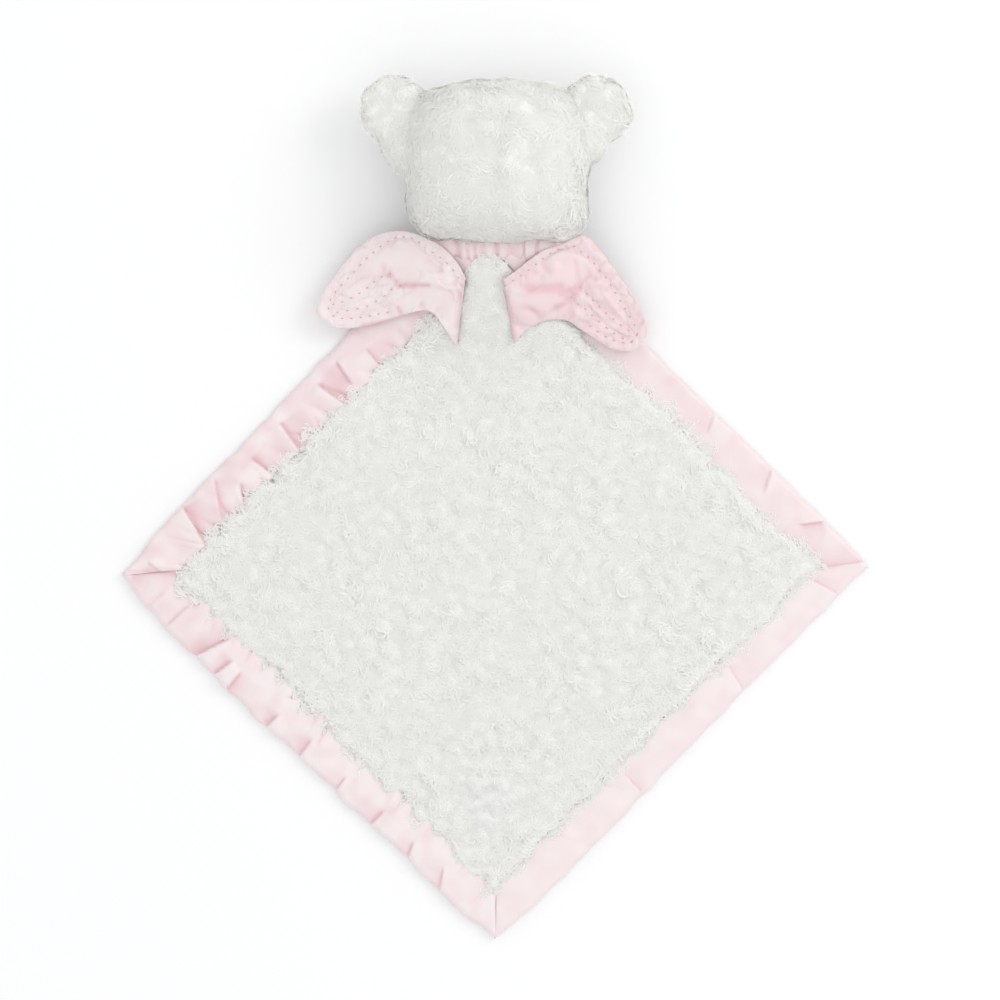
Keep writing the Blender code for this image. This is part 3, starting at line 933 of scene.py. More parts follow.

# %% [markdown]
# ## Satin
#
# Satin's long floating threads make it smooth and bright, with a soft wide highlight. Its pale
# pink is painted deeper in the folds, as painted shade for the light that bounces from pink to
# pink there, from a fold attribute that each piece carries. A fine weave goes in as bump,
# along the piece's own UV map, which is laid out in metres.


# %% Satin finish
def satin_finish(name, colour, deep):
    """Satin: the deep colour is painted shade, and shows where the cloth's fold attribute is 1."""
    material, graph, shader = new_finish(
        name, Sheen_Weight=0.15, Sheen_Roughness=0.35, Specular_IOR_Level=0.45
    )
    where = graph.position()
    cloud = graph.noise(where, 45.0, 3.0)
    fold = graph.add("ShaderNodeAttribute", {"attribute_name": "fold"})["Fac"]
    graph.feed(shader.inputs["Base Color"], graph.mix(colour, deep, 0.10 * cloud + 0.90 * fold))
    uv = graph.add("ShaderNodeUVMap", {"uv_map": "weave"})
    waves = {"Vector": uv, "Scale": 420.0}
    threads = graph.add("ShaderNodeTexWave", {"bands_direction": "X"}, waves, 1)
    floats = graph.noise(uv, 1400.0, 1.0)
    slub = graph.noise(where, 260.0)
    graph.roughen(shader, 0.18, 0.0004, threads * 0.25 + floats * 0.35 + slub * 0.6)
    graph.feed(shader.inputs["Roughness"], 0.34 + 0.14 * slub)
    return material


# The deep colour is the painted shade of the folds.
pink_satin = satin_finish("pink_satin", (0.900, 0.812, 0.810, 1.0), (0.790, 0.535, 0.562, 1.0))
print("satin finish:", pink_satin.name)

# %% [markdown]
# ## The satin binding
#
# A ribbon of satin is folded round each edge of the blanket and sewn down, and the strips are
# mitred where they meet. A cloth simulation could gather it, but would put the tucks anywhere.
# Here each main tuck is placed at the two pixels that it runs between: its one side dips and
# the other stands over it as a lip. Smaller seeded puckers fill in between, starting at the
# seam, as gathers do. The folded edge isn't straight either: each side has an outline of a few
# points, and at the corners one strip laps over the next by about a millimetre.


# %% Tucks of the binding
def beside_line(x, y, start, end):
    """How far places lie ahead of a line's start, and to its left, with the line's length."""
    line = end - start
    length = line.length
    line = line / length
    ahead = (x - start.x) * line.x + (y - start.y) * line.y
    left = (y - start.y) * line.x - (x - start.x) * line.y
    return ahead, left, length


tuck_lip_edge = 0.0013
tuck_pull, tuck_pull_reach = 0.7, 0.006
tuck_full_shade_dip = 0.0020


class Tuck:
    """A tuck between two pixels: how deep it dips and how high its lip stands, in metres.

    The lip is on the left of the line from the first pixel to the second if side is 1, and
    on the right of it if side is -1.
    """

    def __init__(self, start, end, dip, lip, side=1.0, reach=0.006):
        self.start = place(start)
        self.end = place(end)
        self.dip = dip
        self.lip = lip
        self.side = side
        self.reach = reach

    def parts(self, x, y):
        """How much of the lip and of the dip there is at places."""
        ahead, left, length = beside_line(x, y, self.start, self.end)
        across = left * self.side
        fade = eased((ahead + 0.002) / 0.004) * eased((length + 0.003 - ahead) / 0.006)
        over = eased(across / tuck_lip_edge + 0.5)
        lip = fade * over * np.exp(-np.maximum(across, 0.0) / self.reach)
        dip = fade * (1.0 - over) * np.exp(-np.maximum(-across, 0.0) / (1.1 * self.reach))
        return lip, dip

    def height(self, x, y):
        lip, dip = self.parts(x, y)
        return self.lip * lip - self.dip * dip

    def shade(self, x, y):
        """Painted shade, full in the dip of a deep tuck; its lip is painted lighter, as a painted
        highlight.
        """
        lip, dip = self.parts(x, y)
        return min(self.dip / tuck_full_shade_dip, 1.0) * (dip - 0.35 * lip)

    def edge_pull(self, x, y):
        """How much the tuck draws the folded edge in beside its start."""
        distance = np.hypot(x - self.start.x, y - self.start.y)
        return self.dip * tuck_pull * np.exp(-((distance / tuck_pull_reach) ** 2))


upper_left_tucks = [
    Tuck((183, 508), (207, 547), 0.0022, 0.0026, -1.0),
    Tuck((252, 460), (273, 475), 0.0016, 0.0020, -1.0),
    Tuck((280, 424), (300, 452), 0.0016, 0.0022, -1.0, 0.007),
    Tuck((318, 386), (344, 404), 0.0018, 0.0022, -1.0),
    Tuck((338, 362), (352, 383), 0.0010, 0.0016, 1.0),
    Tuck((240, 484), (244, 503), 0.0012, 0.0014, -1.0),
    Tuck((150, 562), (172, 578), 0.0008, 0.0012, 1.0, 0.007),
    Tuck((130, 570), (180, 570), 0.0004, 0.0018, 1.0, 0.003),
    Tuck((214, 480), (222, 520), 0.0006, 0.0012, -1.0, 0.008),
    Tuck((366, 350), (384, 372), 0.0010, 0.0014, -1.0),
]
lower_left_tucks = [
    Tuck((132, 571), (182, 571), 0.0018, 0.0006, 1.0, 0.004),
    Tuck((150, 606), (166, 592), 0.0003, 0.0006, -1.0),
    Tuck((166, 628), (190, 606), 0.0004, 0.0009, -1.0, 0.009),
    Tuck((188, 660), (228, 640), 0.0022, 0.0022, -1.0),
    Tuck((208, 680), (232, 662), 0.0018, 0.0020, -1.0),
    Tuck((222, 694), (240, 672), 0.0012, 0.0014, 1.0),
    Tuck((262, 732), (278, 716), 0.0016, 0.0018, -1.0),
    Tuck((292, 768), (312, 740), 0.0010, 0.0014, -1.0),
    Tuck((330, 800), (346, 778), 0.0010, 0.0014, -1.0),
    Tuck((362, 834), (384, 812), 0.0012, 0.0016, -1.0),
    Tuck((404, 872), (414, 842), 0.0010, 0.0014, -1.0),
    Tuck((438, 905), (444, 868), 0.0008, 0.0010, -1.0),
]
upper_right_tucks = [
    Tuck((822, 521), (800, 524), 0.0013, 0.0012, -1.0),
    Tuck((865, 562), (806, 571), 0.0010, 0.0012, 1.0, 0.005),
    Tuck((772, 468), (764, 492), 0.0005, 0.0008, 1.0, 0.008),
    Tuck((716, 410), (708, 432), 0.0005, 0.0008, 1.0, 0.008),
]
lower_right_tucks = [
    Tuck((836, 594), (810, 580), 0.0006, 0.0008, 1.0, 0.008),
    Tuck((742, 690), (728, 668), 0.0005, 0.0008, 1.0, 0.008),
    Tuck((640, 792), (622, 772), 0.0005, 0.0007, 1.0, 0.008),
]
tucks_by_side = [upper_right_tucks, upper_left_tucks, lower_left_tucks, lower_right_tucks]
print("tucks:", [len(tucks) for tucks in tucks_by_side])


# %% Strips of the binding
def edge_place(side, along, depth):
    """The places of points beside one edge of the blanket: side 0 is the upper right one."""
    angle = math.radians(45.0 + 90.0 * side)
    c, s = math.cos(angle), math.sin(angle)
    across, up = half_side - depth, along - half_side
    return c * across - s * up, s * across + c * up


edge_profiles = [
    ((0.0, 0.036, 0.116, 0.170, 0.330), (0.0036, 0.0049, 0.0040, 0.0031, 0.0030)),
    ((0.0, 0.160, 0.214, 0.267, 0.294, 0.330), (0.0070, 0.0074, 0.0054, 0.0054, 0.0045, 0.0003)),
    (
        (0.0, 0.031, 0.072, 0.125, 0.152, 0.206, 0.246, 0.300, 0.330),
        (0.0055, 0.0088, 0.0092, 0.0088, 0.0067, 0.0062, 0.0042, 0.0040, 0.0),
    ),
    ((0.0, 0.030, 0.097, 0.177, 0.258, 0.330), (0.0, 0.0025, 0.0022, 0.0006, 0.0, 0.0)),
]
mitre_overlap, mitre_gap, mitre_sink = 0.0012, 0.0002, 0.0007
belly_height, belly_spread, belly_patch_size = 0.0011, 0.7, 0.016
wave_size = 0.009
ridge_share, ridge_place = 0.5, 2.2
end_share, end_run = 0.35, 0.004
fold_share = 0.10
edge_wave, edge_wave_size = 2.2, 0.013
pulled_share = 0.7
hollow_shade, hollow_reach, hollow_depth = 0.60, 4, 0.0007
cloud_shade, cloud_size = 340.0, 0.011
pull_limits = (-0.0008, 0.003)
strip_gap = 0.0003
satin_thickness = 0.0005
# Painted shade: the under leg is painted deeper, and each side's pink a little deeper or lighter
# than the others.
under_lift, under_shade = 0.0002, 0.2
side_shades = [0.24, 0.28, 0.10, 0.11]


def edge_out(side, along, depth):
    """How far the strip's folded edge lies outside the true square, none at its inner edge."""
    return np.interp(along, *edge_profiles[side]) * (1.0 - depth / binding_width)


def seeded_puckers(side, count, strength):
    """Small puckers that start at the seam, as (along, slant, length, dip, width)."""
    random = np.random.default_rng(100 + side)
    along = np.linspace(0.03, 2.0 * half_side - 0.03, count) + random.normal(0.0, 0.004, count)
    slant = random.normal(0.25, 0.35, count)
    length = random.uniform(0.45, 1.0, count) * binding_width
    dip = strength * random.uniform(0.4, 1.0, count)
    width = random.uniform(0.0012, 0.0026, count)
    return list(zip(along, slant, length, dip, width))


def satin_top(side, along, depth, x, y, puckers, wave):
    """Height of the binding's upper leg above its flat place."""
    share = np.clip(depth / binding_width, 0.0, 1.0)
    belly = belly_height * np.sin(math.pi * share) ** 0.8
    patches = noise_at(along, depth * 0.6, belly_patch_size, 31.0 + side)
    height = belly * (1.0 + belly_spread * patches)
    height = height + wave * noise_at(along + 0.5 * depth, depth * 0.25, wave_size, 41.0 + side)
    for start, slant, length, dip, width in puckers:
        from_seam = binding_width - depth
        across = along - start - slant * from_seam
        fade = eased(1.0 - from_seam / length)
        height = height - dip * fade * np.exp(-((across / width) ** 2))
        beside = (across - ridge_place * width) / width
        height = height + ridge_share * dip * fade * np.exp(-(beside**2))
    for tuck in tucks_by_side[side]:
        height = height + tuck.height(x, y)
    ends = np.minimum(along - depth, 2.0 * half_side - along - depth)
    settle = eased(ends / end_run)
    return height * (end_share + (1.0 - end_share) * settle) * eased(share / fold_share)


def strip_section(under, fold, upper):
    """The folded ribbon seen end on: how deep and how high each point of it lies."""
    half = binding_height / 2.0
    radius = half - strip_gap
    turn = np.linspace(-math.pi / 2.0, math.pi / 2.0, fold)
    depths = [
        np.linspace(binding_width, half, under, endpoint=False),
        half - radius * np.cos(turn),
        np.linspace(half, binding_width, upper + 1)[1:],
    ]
    heights = [np.full(under, -radius), radius * np.sin(turn), np.full(upper, radius)]
    return np.concatenate(depths), np.concatenate(heights)


def binding_strip(name, side, counts, puckers, wave):
    """A strip folded to a U round the edge: under leg, fold, upper leg, with mitred ends."""
    ribbon_depth, ribbon_height = strip_section(*counts[1:])
    full = 2.0 * half_side
    first = ribbon_depth - mitre_overlap - edge_out((side + 3) % 4, full, ribbon_depth)
    last = full - ribbon_depth - mitre_gap + edge_out((side + 1) % 4, 0.0, ribbon_depth)
    along = first + (last - first) * np.linspace(0.0, 1.0, counts[0])[:, None]
    depth = np.broadcast_to(ribbon_depth, along.shape)
    on_top = np.broadcast_to(ribbon_height > 0.0, along.shape)
    x, y = edge_place(side, along, depth)
    tucks = tucks_by_side[side]
    pull = sum(tuck.edge_pull(x, y) for tuck in tucks)
    pull = pull + wave * edge_wave * noise_at(along, 0.0 * along, edge_wave_size, 51.0 + side)
    edge_share = 1.0 - eased(depth / (pulled_share * binding_width))
    moved_depth = depth + edge_share * np.clip(pull, *pull_limits) + strip_gap
    x, y = edge_place(side, along, moved_depth - edge_out(side, along, depth))
    lift = np.where(on_top, satin_top(side, along, depth, x, y, puckers, wave), 0.0)
    z = binding_height / 2.0 + drape_rise(x, y) + ribbon_height + lift
    tucked = 1.0 - eased((along - depth + mitre_overlap) / (2.0 * mitre_overlap))
    z += np.where(on_top, -mitre_sink * tucked * (side != 1), under_lift)
    faces = grid_faces(*along.shape)
    made = mesh_object(name, np.stack([x, y, z], axis=-1), faces, pink_satin)
    steps = np.hypot(np.diff(ribbon_depth), np.diff(ribbon_height))
    run = np.concatenate([[0.0], np.cumsum(steps)])
    add_weave(made, along, np.broadcast_to(run, along.shape))
    # Painted shade: the pink is painted deeper in the hollows, in the tucks' dips, on the under leg
    # and on some sides, and lighter on the tucks' lips; random clouds vary it too.
    shade = hollow_shade * hollows(lift, hollow_reach, hollow_depth)
    shade = shade + sum(tuck.shade(x, y) for tuck in tucks) + side_shades[side]
    shade = shade + cloud_shade * wave * noise_at(along, depth, cloud_size, 71.0 + side)
    shade = np.clip(np.where(on_top, shade, under_shade), 0.0, 1.0)
    add_attribute(made, "fold", "FLOAT", shade)
    if side in (0, 1):
        with editing(made.data) as bm:
            cut(bm, neck, (0.0, 1.0, 0.0))
    thick = made.modifiers.new("thickness", "SOLIDIFY")
    thick.thickness = satin_thickness
    thick.offset = 0.0
    plain_mesh(made)
    made.data.shade_smooth()
    return made


strip_settings = [
    ("binding_upper_right", 14, 0.0006, 0.00030),
    ("binding_upper_left", 26, 0.0014, 0.00065),
    ("binding_lower_left", 28, 0.0014, 0.00065),
    ("binding_lower_right", 14, 0.0005, 0.00028),
]
strip_counts = (380, 8, 9, 30)
binding = []
for side, (node, pucker_count, pucker_dip, wave) in enumerate(strip_settings):
    puckers = seeded_puckers(side, pucker_count, pucker_dip)
    strip = binding_strip(f"satin_{node}", side, strip_counts, puckers, wave)
    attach(strip, "blanket")
    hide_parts(node)
    binding.append(strip)
print("binding faces:", [len(strip.data.polygons) for strip in binding])

# %% Panels and pile ride with the blanket
for panel, node, pile in (
    (back_panel, "blanket_back_panel", back_pile),
    (front_panel, "blanket_front_panel", front_pile),
):
    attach(panel, "blanket")
    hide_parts(node)
    for patch in pile:
        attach(patch, "blanket")
    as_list(pile)
print("panels ride on the blanket")


# %% [markdown]
# ## The head
#
# The head is a stuffed ball of longer plush, wider than it is tall, with its seam all round
# at the height of the neck. Its skin is a finely divided ball, set a little inside the size
# of the solid, and dented by noise as stuffing does. The pile then fills the rest.

# %% Head
head_centre = sum(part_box("head_stuffing"), Vector()) / 2.0
head_centre.x = 0.0
head_centre.z = neck.z
head_half_width, head_half_height = 0.060, 0.051
head_back_depth, head_face_depth = 0.044, 0.019
outline_power, depth_power = 3.0, 2.3


def head_point(direction, inset):
    """A point of the head's form in a direction, a distance inside its surface."""
    depth = head_back_depth if direction.z >= 0.0 else head_face_depth
    outline = abs(direction.x) ** outline_power + abs(direction.y) ** outline_power
    across = outline ** (depth_power / outline_power)
    reach = (across + abs(direction.z) ** depth_power) ** (-1.0 / depth_power)
    half_sizes = Vector((head_half_width - inset, head_half_height - inset, depth - inset))
    return head_centre + direction * half_sizes * reach


def ball_mesh(name, divisions, place_point):
    """A closed ball whose unit directions are moved to places."""
    mesh = bpy.data.meshes.new(name)
    with editing(mesh) as bm:
        bmesh.ops.create_icosphere(bm, subdivisions=divisions, radius=1.0)
        for vert in bm.verts:
            vert.co = place_point(vert.co.normalized())
    mesh.shade_smooth()
    return mesh


def ball_object(name, divisions, place_point, material):
    mesh = ball_mesh(name, divisions, place_point)
    mesh.materials.append(material)
    return linked(name, mesh)


head_skin_inset = 0.0022
right_cheek, left_cheek = 0.0090, 0.0040
cheek_start, cheek_run = 0.35, 0.4
bottom_drop = 0.0036
dent_scale, dent_height = 75.0, 0.0026
fine_dent_scale, fine_dent_height = 150.0, 0.0010


def head_skin_point(direction):
    """The skin: the form, fuller at its lower corners, with dents and soft lumps."""
    point = head_point(direction, head_skin_inset)
    point.y -= bottom_drop * eased((-direction.y - 0.1) / 0.5)
    low = eased((-direction.y - 0.30) / 0.4)
    right = right_cheek * eased((direction.x - cheek_start) / cheek_run)
    left = left_cheek * eased((-direction.x - cheek_start) / cheek_run)
    around = Vector((direction.x, direction.y, 0.0)) * (1.0 - direction.z**2)
    dents = noise.noise(point * dent_scale) * dent_height
    dents += noise.noise(point * fine_dent_scale) * fine_dent_height
    return point + around * low * (left + right) + direction * dents


head_ball = ball_object("head_ball", 5, head_skin_point, skin_painted_light)
print("head ball faces:", len(head_ball.data.polygons))

# %% [markdown]
# Each ear is two layers of plush sewn at the rim and turned, so it is a fat disc caught in
# the head's side seam. Its pile and the head's run into each other, so the skins of the three
# are blended: the balls overlap, one fine remesh wraps them all, and smoothing rounds out the
# corners between them. The blend is then cut along each ear's seam, which gives three closed
# pieces again. The muzzle is a padded dome on the face, pressed flat where it rests on the
# floor.

# %% Ears and muzzle
ear_radius, ear_half_thickness = 0.023, 0.0055
ear_side, ear_raised = 0.063, 0.030
ear_root_place = Vector((0.056, 0.013, 0.0))
ear_root_sizes = {-1.0: Vector((0.0180, 0.0230, 0.0125)), 1.0: Vector((0.0140, 0.0190, 0.0125))}
ear_cut_place = Vector((0.045, 0.0455, 0.0))
ear_cut_away = Vector((0.95, 0.311, 0.0))
ear_cut_gap = 0.00001
ear_dent_scale, ear_dent_height = 110.0, 0.0020


def ear_ball(side):
    """An ear as a fat disc, rounder at its rim than a ball would be."""
    middle = head_centre + Vector((side * ear_side, ear_raised, 0.0))
    sizes = Vector((ear_radius - 0.0008, ear_radius - 0.0008, ear_half_thickness + 0.0015))

    def ear_point(direction):
        around = Vector((direction.x, direction.y, 0.0))
        spread = around.length
        flat = around / spread * spread**0.7 if spread > 0.0 else around
        dents = noise.noise((middle + direction * 0.02) * ear_dent_scale) * ear_dent_height
        return middle + Vector((flat.x, flat.y, direction.z)) * sizes + direction * dents

    return ball_object("ear_ball", 4, ear_point, skin_painted_light)


def ear_root_ball(side):
    """What fills the corner between an ear and the head."""
    middle = head_centre + Vector((side * ear_root_place.x, ear_root_place.y, 0.0))
    sizes = ear_root_sizes[side]
    return ball_object("ear_root_ball", 3, lambda direction: middle + direction * sizes, skin_painted_light)


def blended(name, parts, voxel, rounds):
    """One closed skin round several balls that overlap, with the corners between them filled."""
    made = mesh_object(name, [], [], skin_painted_light)
    with editing(made.data) as bm:
        for part in parts:
            bm.from_mesh(part.data)
            bpy.data.objects.remove(part)
    remesh = made.modifiers.new("remesh", "REMESH")
    remesh.mode = "VOXEL"
    remesh.voxel_size = voxel
    rounding = made.modifiers.new("rounding", "SMOOTH")
    rounding.factor = 0.5
    rounding.iterations = rounds
    plain_mesh(made)
    made.data.shade_smooth()
    return made


def ear_cut(side, gap):
    """The plane of an ear's seam: a point on it, and its direction away from the head."""
    away = Vector((side * ear_cut_away.x, ear_cut_away.y, 0.0)).normalized()
    at = head_centre + Vector((side * ear_cut_place.x, ear_cut_place.y, 0.0)) + gap * away
    return at, away


balls = [head_ball] + [make(side) for make in (ear_ball, ear_root_ball) for side in (-1.0, 1.0)]
whole_skin = blended("whole_skin", balls, 0.0020, 14)
head_skin = linked("head_skin", whole_skin.data.copy())
cut_and_fill(head_skin, [ear_cut(side, -ear_cut_gap) for side in (-1.0, 1.0)])
ears = []
for side_name, side in (("left", -1.0), ("right", 1.0)):
    ear = linked(f"ear_{side_name}_skin", whole_skin.data.copy())
    at, away = ear_cut(side, ear_cut_gap)
    cut_and_fill(ear, [(at, -away)])
    ears.append(ear)

muzzle_centre = head_centre + Vector((0.0, -0.008, -0.0095))
muzzle_sizes = Vector((0.026, 0.021, 0.022))
muzzle_rest = 0.0012


def muzzle_point(direction):
    """The muzzle's skin, flat where it rests on the floor."""
    point = muzzle_centre + direction * (muzzle_sizes - Vector((0.0015, 0.0015, 0.0015)))
    point.z = max(point.z, muzzle_rest)
    return point


muzzle_skin = ball_object("muzzle_skin", 4, muzzle_point, skin_painted_light)
print("skin faces:", [len(o.data.polygons) for o in [head_skin, muzzle_skin] + ears])


# %% Pile of the head, ears and muzzle
def bare_copy(made, name, keep, most_level=1.0):
    """The faces of a skin that pass a test, and don't look straighter up or down than a share."""
    copy = linked(name, made.data.copy())
    copy.data.materials.clear()
    with editing(copy.data) as bm:
        lost = [
            face
            for face in bm.faces
            if abs(face.normal.z) > most_level or not keep(face.calc_center_median())
        ]
        bmesh.ops.delete(bm, geom=lost, context="FACES")
    return copy


swirl_shifts = (Vector((0.0, 0.0, 40.0)), Vector((31.0, 0.0, 0.0)), Vector((0.0, 57.0, 0.0)))
swirl_scale, swirl_strength = 26.0, 1.7


def swirl_at(point):
    """A direction that turns slowly from place to place, the same in each run."""
    turns = [noise.noise(point * swirl_scale + shift) for shift in swirl_shifts]
    return Vector(turns) * swirl_strength


def comb_skin(made, length_at, grey_at, down_share):
    """Gives a bare skin its comb, a swirl that also falls away from the crown, and the rest."""
    places = [vert.co.copy() for vert in made.data.vertices]
    comb = [swirl_at(point) + Vector((0.0, -down_share, -0.1)) for point in places]
    lengths = [length_at(point) for point in places]
    carry(made, comb, lengths, [grey_at(point) for point in places])


head_length_spread, head_length_scale = 0.12, 60.0
face_shorter = 0.62
head_middle_grey, head_grey_spread, head_grey_scale = 0.058, 0.044, 30.0


def head_length(point):
    """Longer on the back, short on the face round the eyes and under the muzzle."""
    if point.z >= head_centre.z:
        return 1.0 + head_length_spread * noise.noise(point * head_length_scale)
    below = (head_centre.z - point.z) / head_face_depth
    return 1.0 - face_shorter * min(max(below, 0.0), 1.0)


def head_grey(point):
    """A little greyer in the middle of the back, and in patches."""
    middle = math.hypot(point.x, point.y - head_centre.y) / head_half_width
    patches = head_grey_spread * noise.noise(point * head_grey_scale)
    return max(head_middle_grey - head_middle_grey * middle + patches, 0.0)


def in_ear(point, side):
    """Whether a point lies beyond the seam of the ear on one side."""
    at, away = ear_cut(side, 0.0)
    return (point - at).dot(away) > 0.0


muzzle_bare_height = 0.0025
muzzle_inside = muzzle_sizes - Vector((0.002, 0.002, 0.001))
head_inside_inset = 0.002


def in_muzzle(point):
    """Whether a point lies inside the muzzle's skin."""
    away = point - muzzle_centre
    return sum((away[i] / muzzle_inside[i]) ** 2 for i in range(3)) < 1.0


def in_head(point):
    """Whether a point lies inside the head's skin."""
    away = point - head_centre
    depth = head_back_depth if away.z >= 0.0 else head_face_depth
    half = Vector((head_half_width, head_half_height, depth)) - Vector([head_inside_inset] * 3)
    outline = abs(away.x / half.x) ** outline_power + abs(away.y / half.y) ** outline_power
    return outline ** (depth_power / outline_power) + abs(away.z / half.z) ** depth_power < 1.0


def on_back(point, side):
    """Whether a point lies on one half of the back of the head."""
    in_half = point.x * side >= 0.0 and point.z >= head_centre.z
    return in_half and not in_ear(point, side)


def on_face(point):
    """Whether a point lies on the face, clear of the ears and the muzzle."""
    ear = in_ear(point, -1.0) or in_ear(point, 1.0)
    return point.z < head_centre.z and not ear and not in_muzzle(point)


head_pile = []
head_spacing, fringe_spacing, ear_spacing, muzzle_spacing = 0.0027, 0.0026, 0.0028, 0.0030
head_parts = (
    ("back_left", lambda point: on_back(point, -1.0)),
    ("back_right", lambda point: on_back(point, 1.0)),
    ("face", on_face),
)
for number, (part_name, keep) in enumerate(head_parts):
    patch = bare_copy(whole_skin, f"head_pile_{part_name}", keep)
    comb_skin(patch, head_length, head_grey, 0.35)
    head_pile.append(plant(patch, head_spacing, head_locks, 0.2, 0.5, 60 + number))
# More upright locks on the steep sides break up the head's outline.
fringe = bare_copy(whole_skin, "head_fringe", lambda point: True, 0.72)
comb_skin(fringe, lambda point: 0.9, lambda point: 0.007, 0.2)
head_pile.append(plant(fringe, fringe_spacing, fringe_locks, 0.2, 0.5, 65))
ear_pile = []
for number, (side_name, side) in enumerate((("left", -1.0), ("right", 1.0))):
    patch = bare_copy(whole_skin, f"ear_{side_name}_pile", lambda point: in_ear(point, side))
    comb_skin(patch, lambda point: 0.85, lambda point: 0.007, 0.15)
    ear_pile.append(plant(patch, ear_spacing, head_locks, 0.2, 0.6, 70 + number))
bpy.data.objects.remove(whole_skin)
muzzle_patch = bare_copy(
    muzzle_skin,
    "muzzle_pile",
    lambda point: point.z > muzzle_rest + muzzle_bare_height and not in_head(point),
)
comb_skin(muzzle_patch, lambda point: 0.62, lambda point: 0.03, 0.3)
muzzle_pile = plant(muzzle_patch, muzzle_spacing, short_locks, 0.15, 0.5, 80)
print("head pile faces:", [len(p.data.polygons) for p in head_pile + ear_pile + [muzzle_pile]])

# %% [markdown]
# The eyes and the nose are satin stitch: threads laid side by side over a small pad. A dome
# with a ridge for every thread gives that, and its finish adds the thread's gloss.


# %% Embroidery
def thread_finish(name, colour, dark):
    """Glossy thread, with its fibres as bump."""
    material, graph, shader = new_finish(name, Roughness=0.38, Sheen_Weight=0.2)
    fibre = graph.noise(graph.position(), 1600.0)
    graph.feed(shader.inputs["Base Color"], graph.mix(dark, colour, fibre))
    graph.roughen(shader, 0.3, 0.0002, fibre)
    return material


eye_thread = thread_finish("eye_thread", (0.130, 0.095, 0.080, 1.0), (0.060, 0.045, 0.040, 1.0))
nose_thread = thread_finish("nose_thread", (0.600, 0.345, 0.335, 1.0), (0.430, 0.235, 0.230, 1.0))
stitch_thread = thread_finish(
    "stitch_thread", (0.700, 0.430, 0.460, 1.0), (0.560, 0.330, 0.360, 1.0)
)


def stitched_pad(name, node, threads, material):
    """A dome that fills a node's box, with one ridge for each thread along its length."""
    low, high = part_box(node)
    middle, half = (low + high) / 2.0, (high - low) / 2.0

    def pad_point(direction):
        ridge = abs(math.sin(0.5 * math.pi * threads * (direction.x + 1.0)))
        return middle + direction * half * (0.94 + 0.06 * ridge)

    made = ball_object(name, 5, pad_point, material)
    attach(made, "head")
    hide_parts(node)
    return made


face_pads = [
    stitched_pad("left_eye_stitches", "eye_left", 12, eye_thread),
    stitched_pad("right_eye_stitches", "eye_right", 12, eye_thread),
    stitched_pad("nose_stitches", "nose", 16, nose_thread),
]
print("embroidery:", [pad.name for pad in face_pads])

# %% The head's pieces ride on it
for skin, nodes, fill in (
    (head_skin, ("head_back_panel", "head_face_panel", "head_stuffing"), 0.9),
    (ears[0], ("ear_left_back", "ear_left_front"), 0.5),
    (ears[1], ("ear_right_back", "ear_right_front"), 0.5),
    (muzzle_skin, ("muzzle",), 0.8),
):
    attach(skin, "head")
    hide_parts(*nodes)
for patch in head_pile + ear_pile + [muzzle_pile]:
    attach(patch, "head")
print("head dressed")

# %% [markdown]
# ## The neck
#
# Under the head, the blanket's bound corner is rolled together and caught in the seam, which
# gathers the satin into small upright pleats. The roll is a tube whose radius follows the
# pleats, uneven in pitch and depth.


# %% Neck roll
roll_counts = (240, 28)
roll_past_node = 0.018
roll_radius = 0.0044
roll_flatness = 2.1
roll_set_back, roll_raised = 0.0030, 0.0008
roll_sag = 0.0034
roll_taper, roll_wander = 0.55, 0.0022
pleat_count, pleat_share = 12, 0.34


def neck_roll():
    """A tube along X, pleated, that thins and sinks towards its ends."""
    low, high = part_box("neck_gather")
    half_length = (high.x - low.x) / 2.0 + roll_past_node
    rows, columns = roll_counts
    random = np.random.default_rng(5)
    u = np.linspace(-1.0, 1.0, rows)
    pleat_places = np.cumsum(random.uniform(0.10, 0.26, pleat_count)) - 1.05
    depth = sum(
        random.uniform(0.3, 1.0) * np.exp(-(((u - c) / random.uniform(0.03, 0.07)) ** 2))
        for c in pleat_places
    )
    radius = roll_radius * (1.0 - pleat_share * np.clip(depth, 0.0, 1.2))
    radius = radius * (1.0 - roll_taper * np.abs(u) ** 3)
    u, radius = u[:, None], radius[:, None]
    turn = np.linspace(0.0, 2.0 * math.pi, columns, endpoint=False)[None, :]
    x = half_length * u + roll_wander * np.sin(turn) * np.sin(7.0 * u)
    y = neck.y - roll_set_back + radius * roll_flatness * np.cos(turn)
    z = neck.z + roll_raised + radius * np.sin(turn) - roll_sag * np.abs(u) ** 2.5
    faces = []
    for row in range(rows - 1):
        ring = [row * columns + c for c in range(columns)]
        faces += [(a, b, columns + b, columns + a) for a, b in zip(ring, ring[1:] + ring[:1])]
    faces.append(tuple(range(columns))[::-1])
    faces.append(tuple((rows - 1) * columns + c for c in range(columns)))
    made = mesh_object("neck_roll", np.stack([x, y, z], axis=-1), faces, pink_satin)
    # Painted shade: the pink is painted deeper in the pleats.
    shade = 0.2 + 0.6 * np.clip(depth, 0.0, 1.0)[:, None]
    add_attribute(made, "fold", "FLOAT", np.broadcast_to(shade, y.shape))
    outward(made)
    return made


neck_roll_piece = neck_roll()
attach(neck_roll_piece, "blanket")
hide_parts("neck_gather")
print("neck roll faces:", len(neck_roll_piece.data.polygons))

# %% [markdown]
# ## The wings
#
# A wing is two layers of satin over wadding, sewn together a little inside their edge, with
# two rows of stitching that mark the feathers. It could be drawn as one pad, but the wrinkles
# come from the way the stitching holds the cloth. So the two layers are made flat, their stitched
# lines are pinned, and the cloth is blown up slightly by simulation between them.


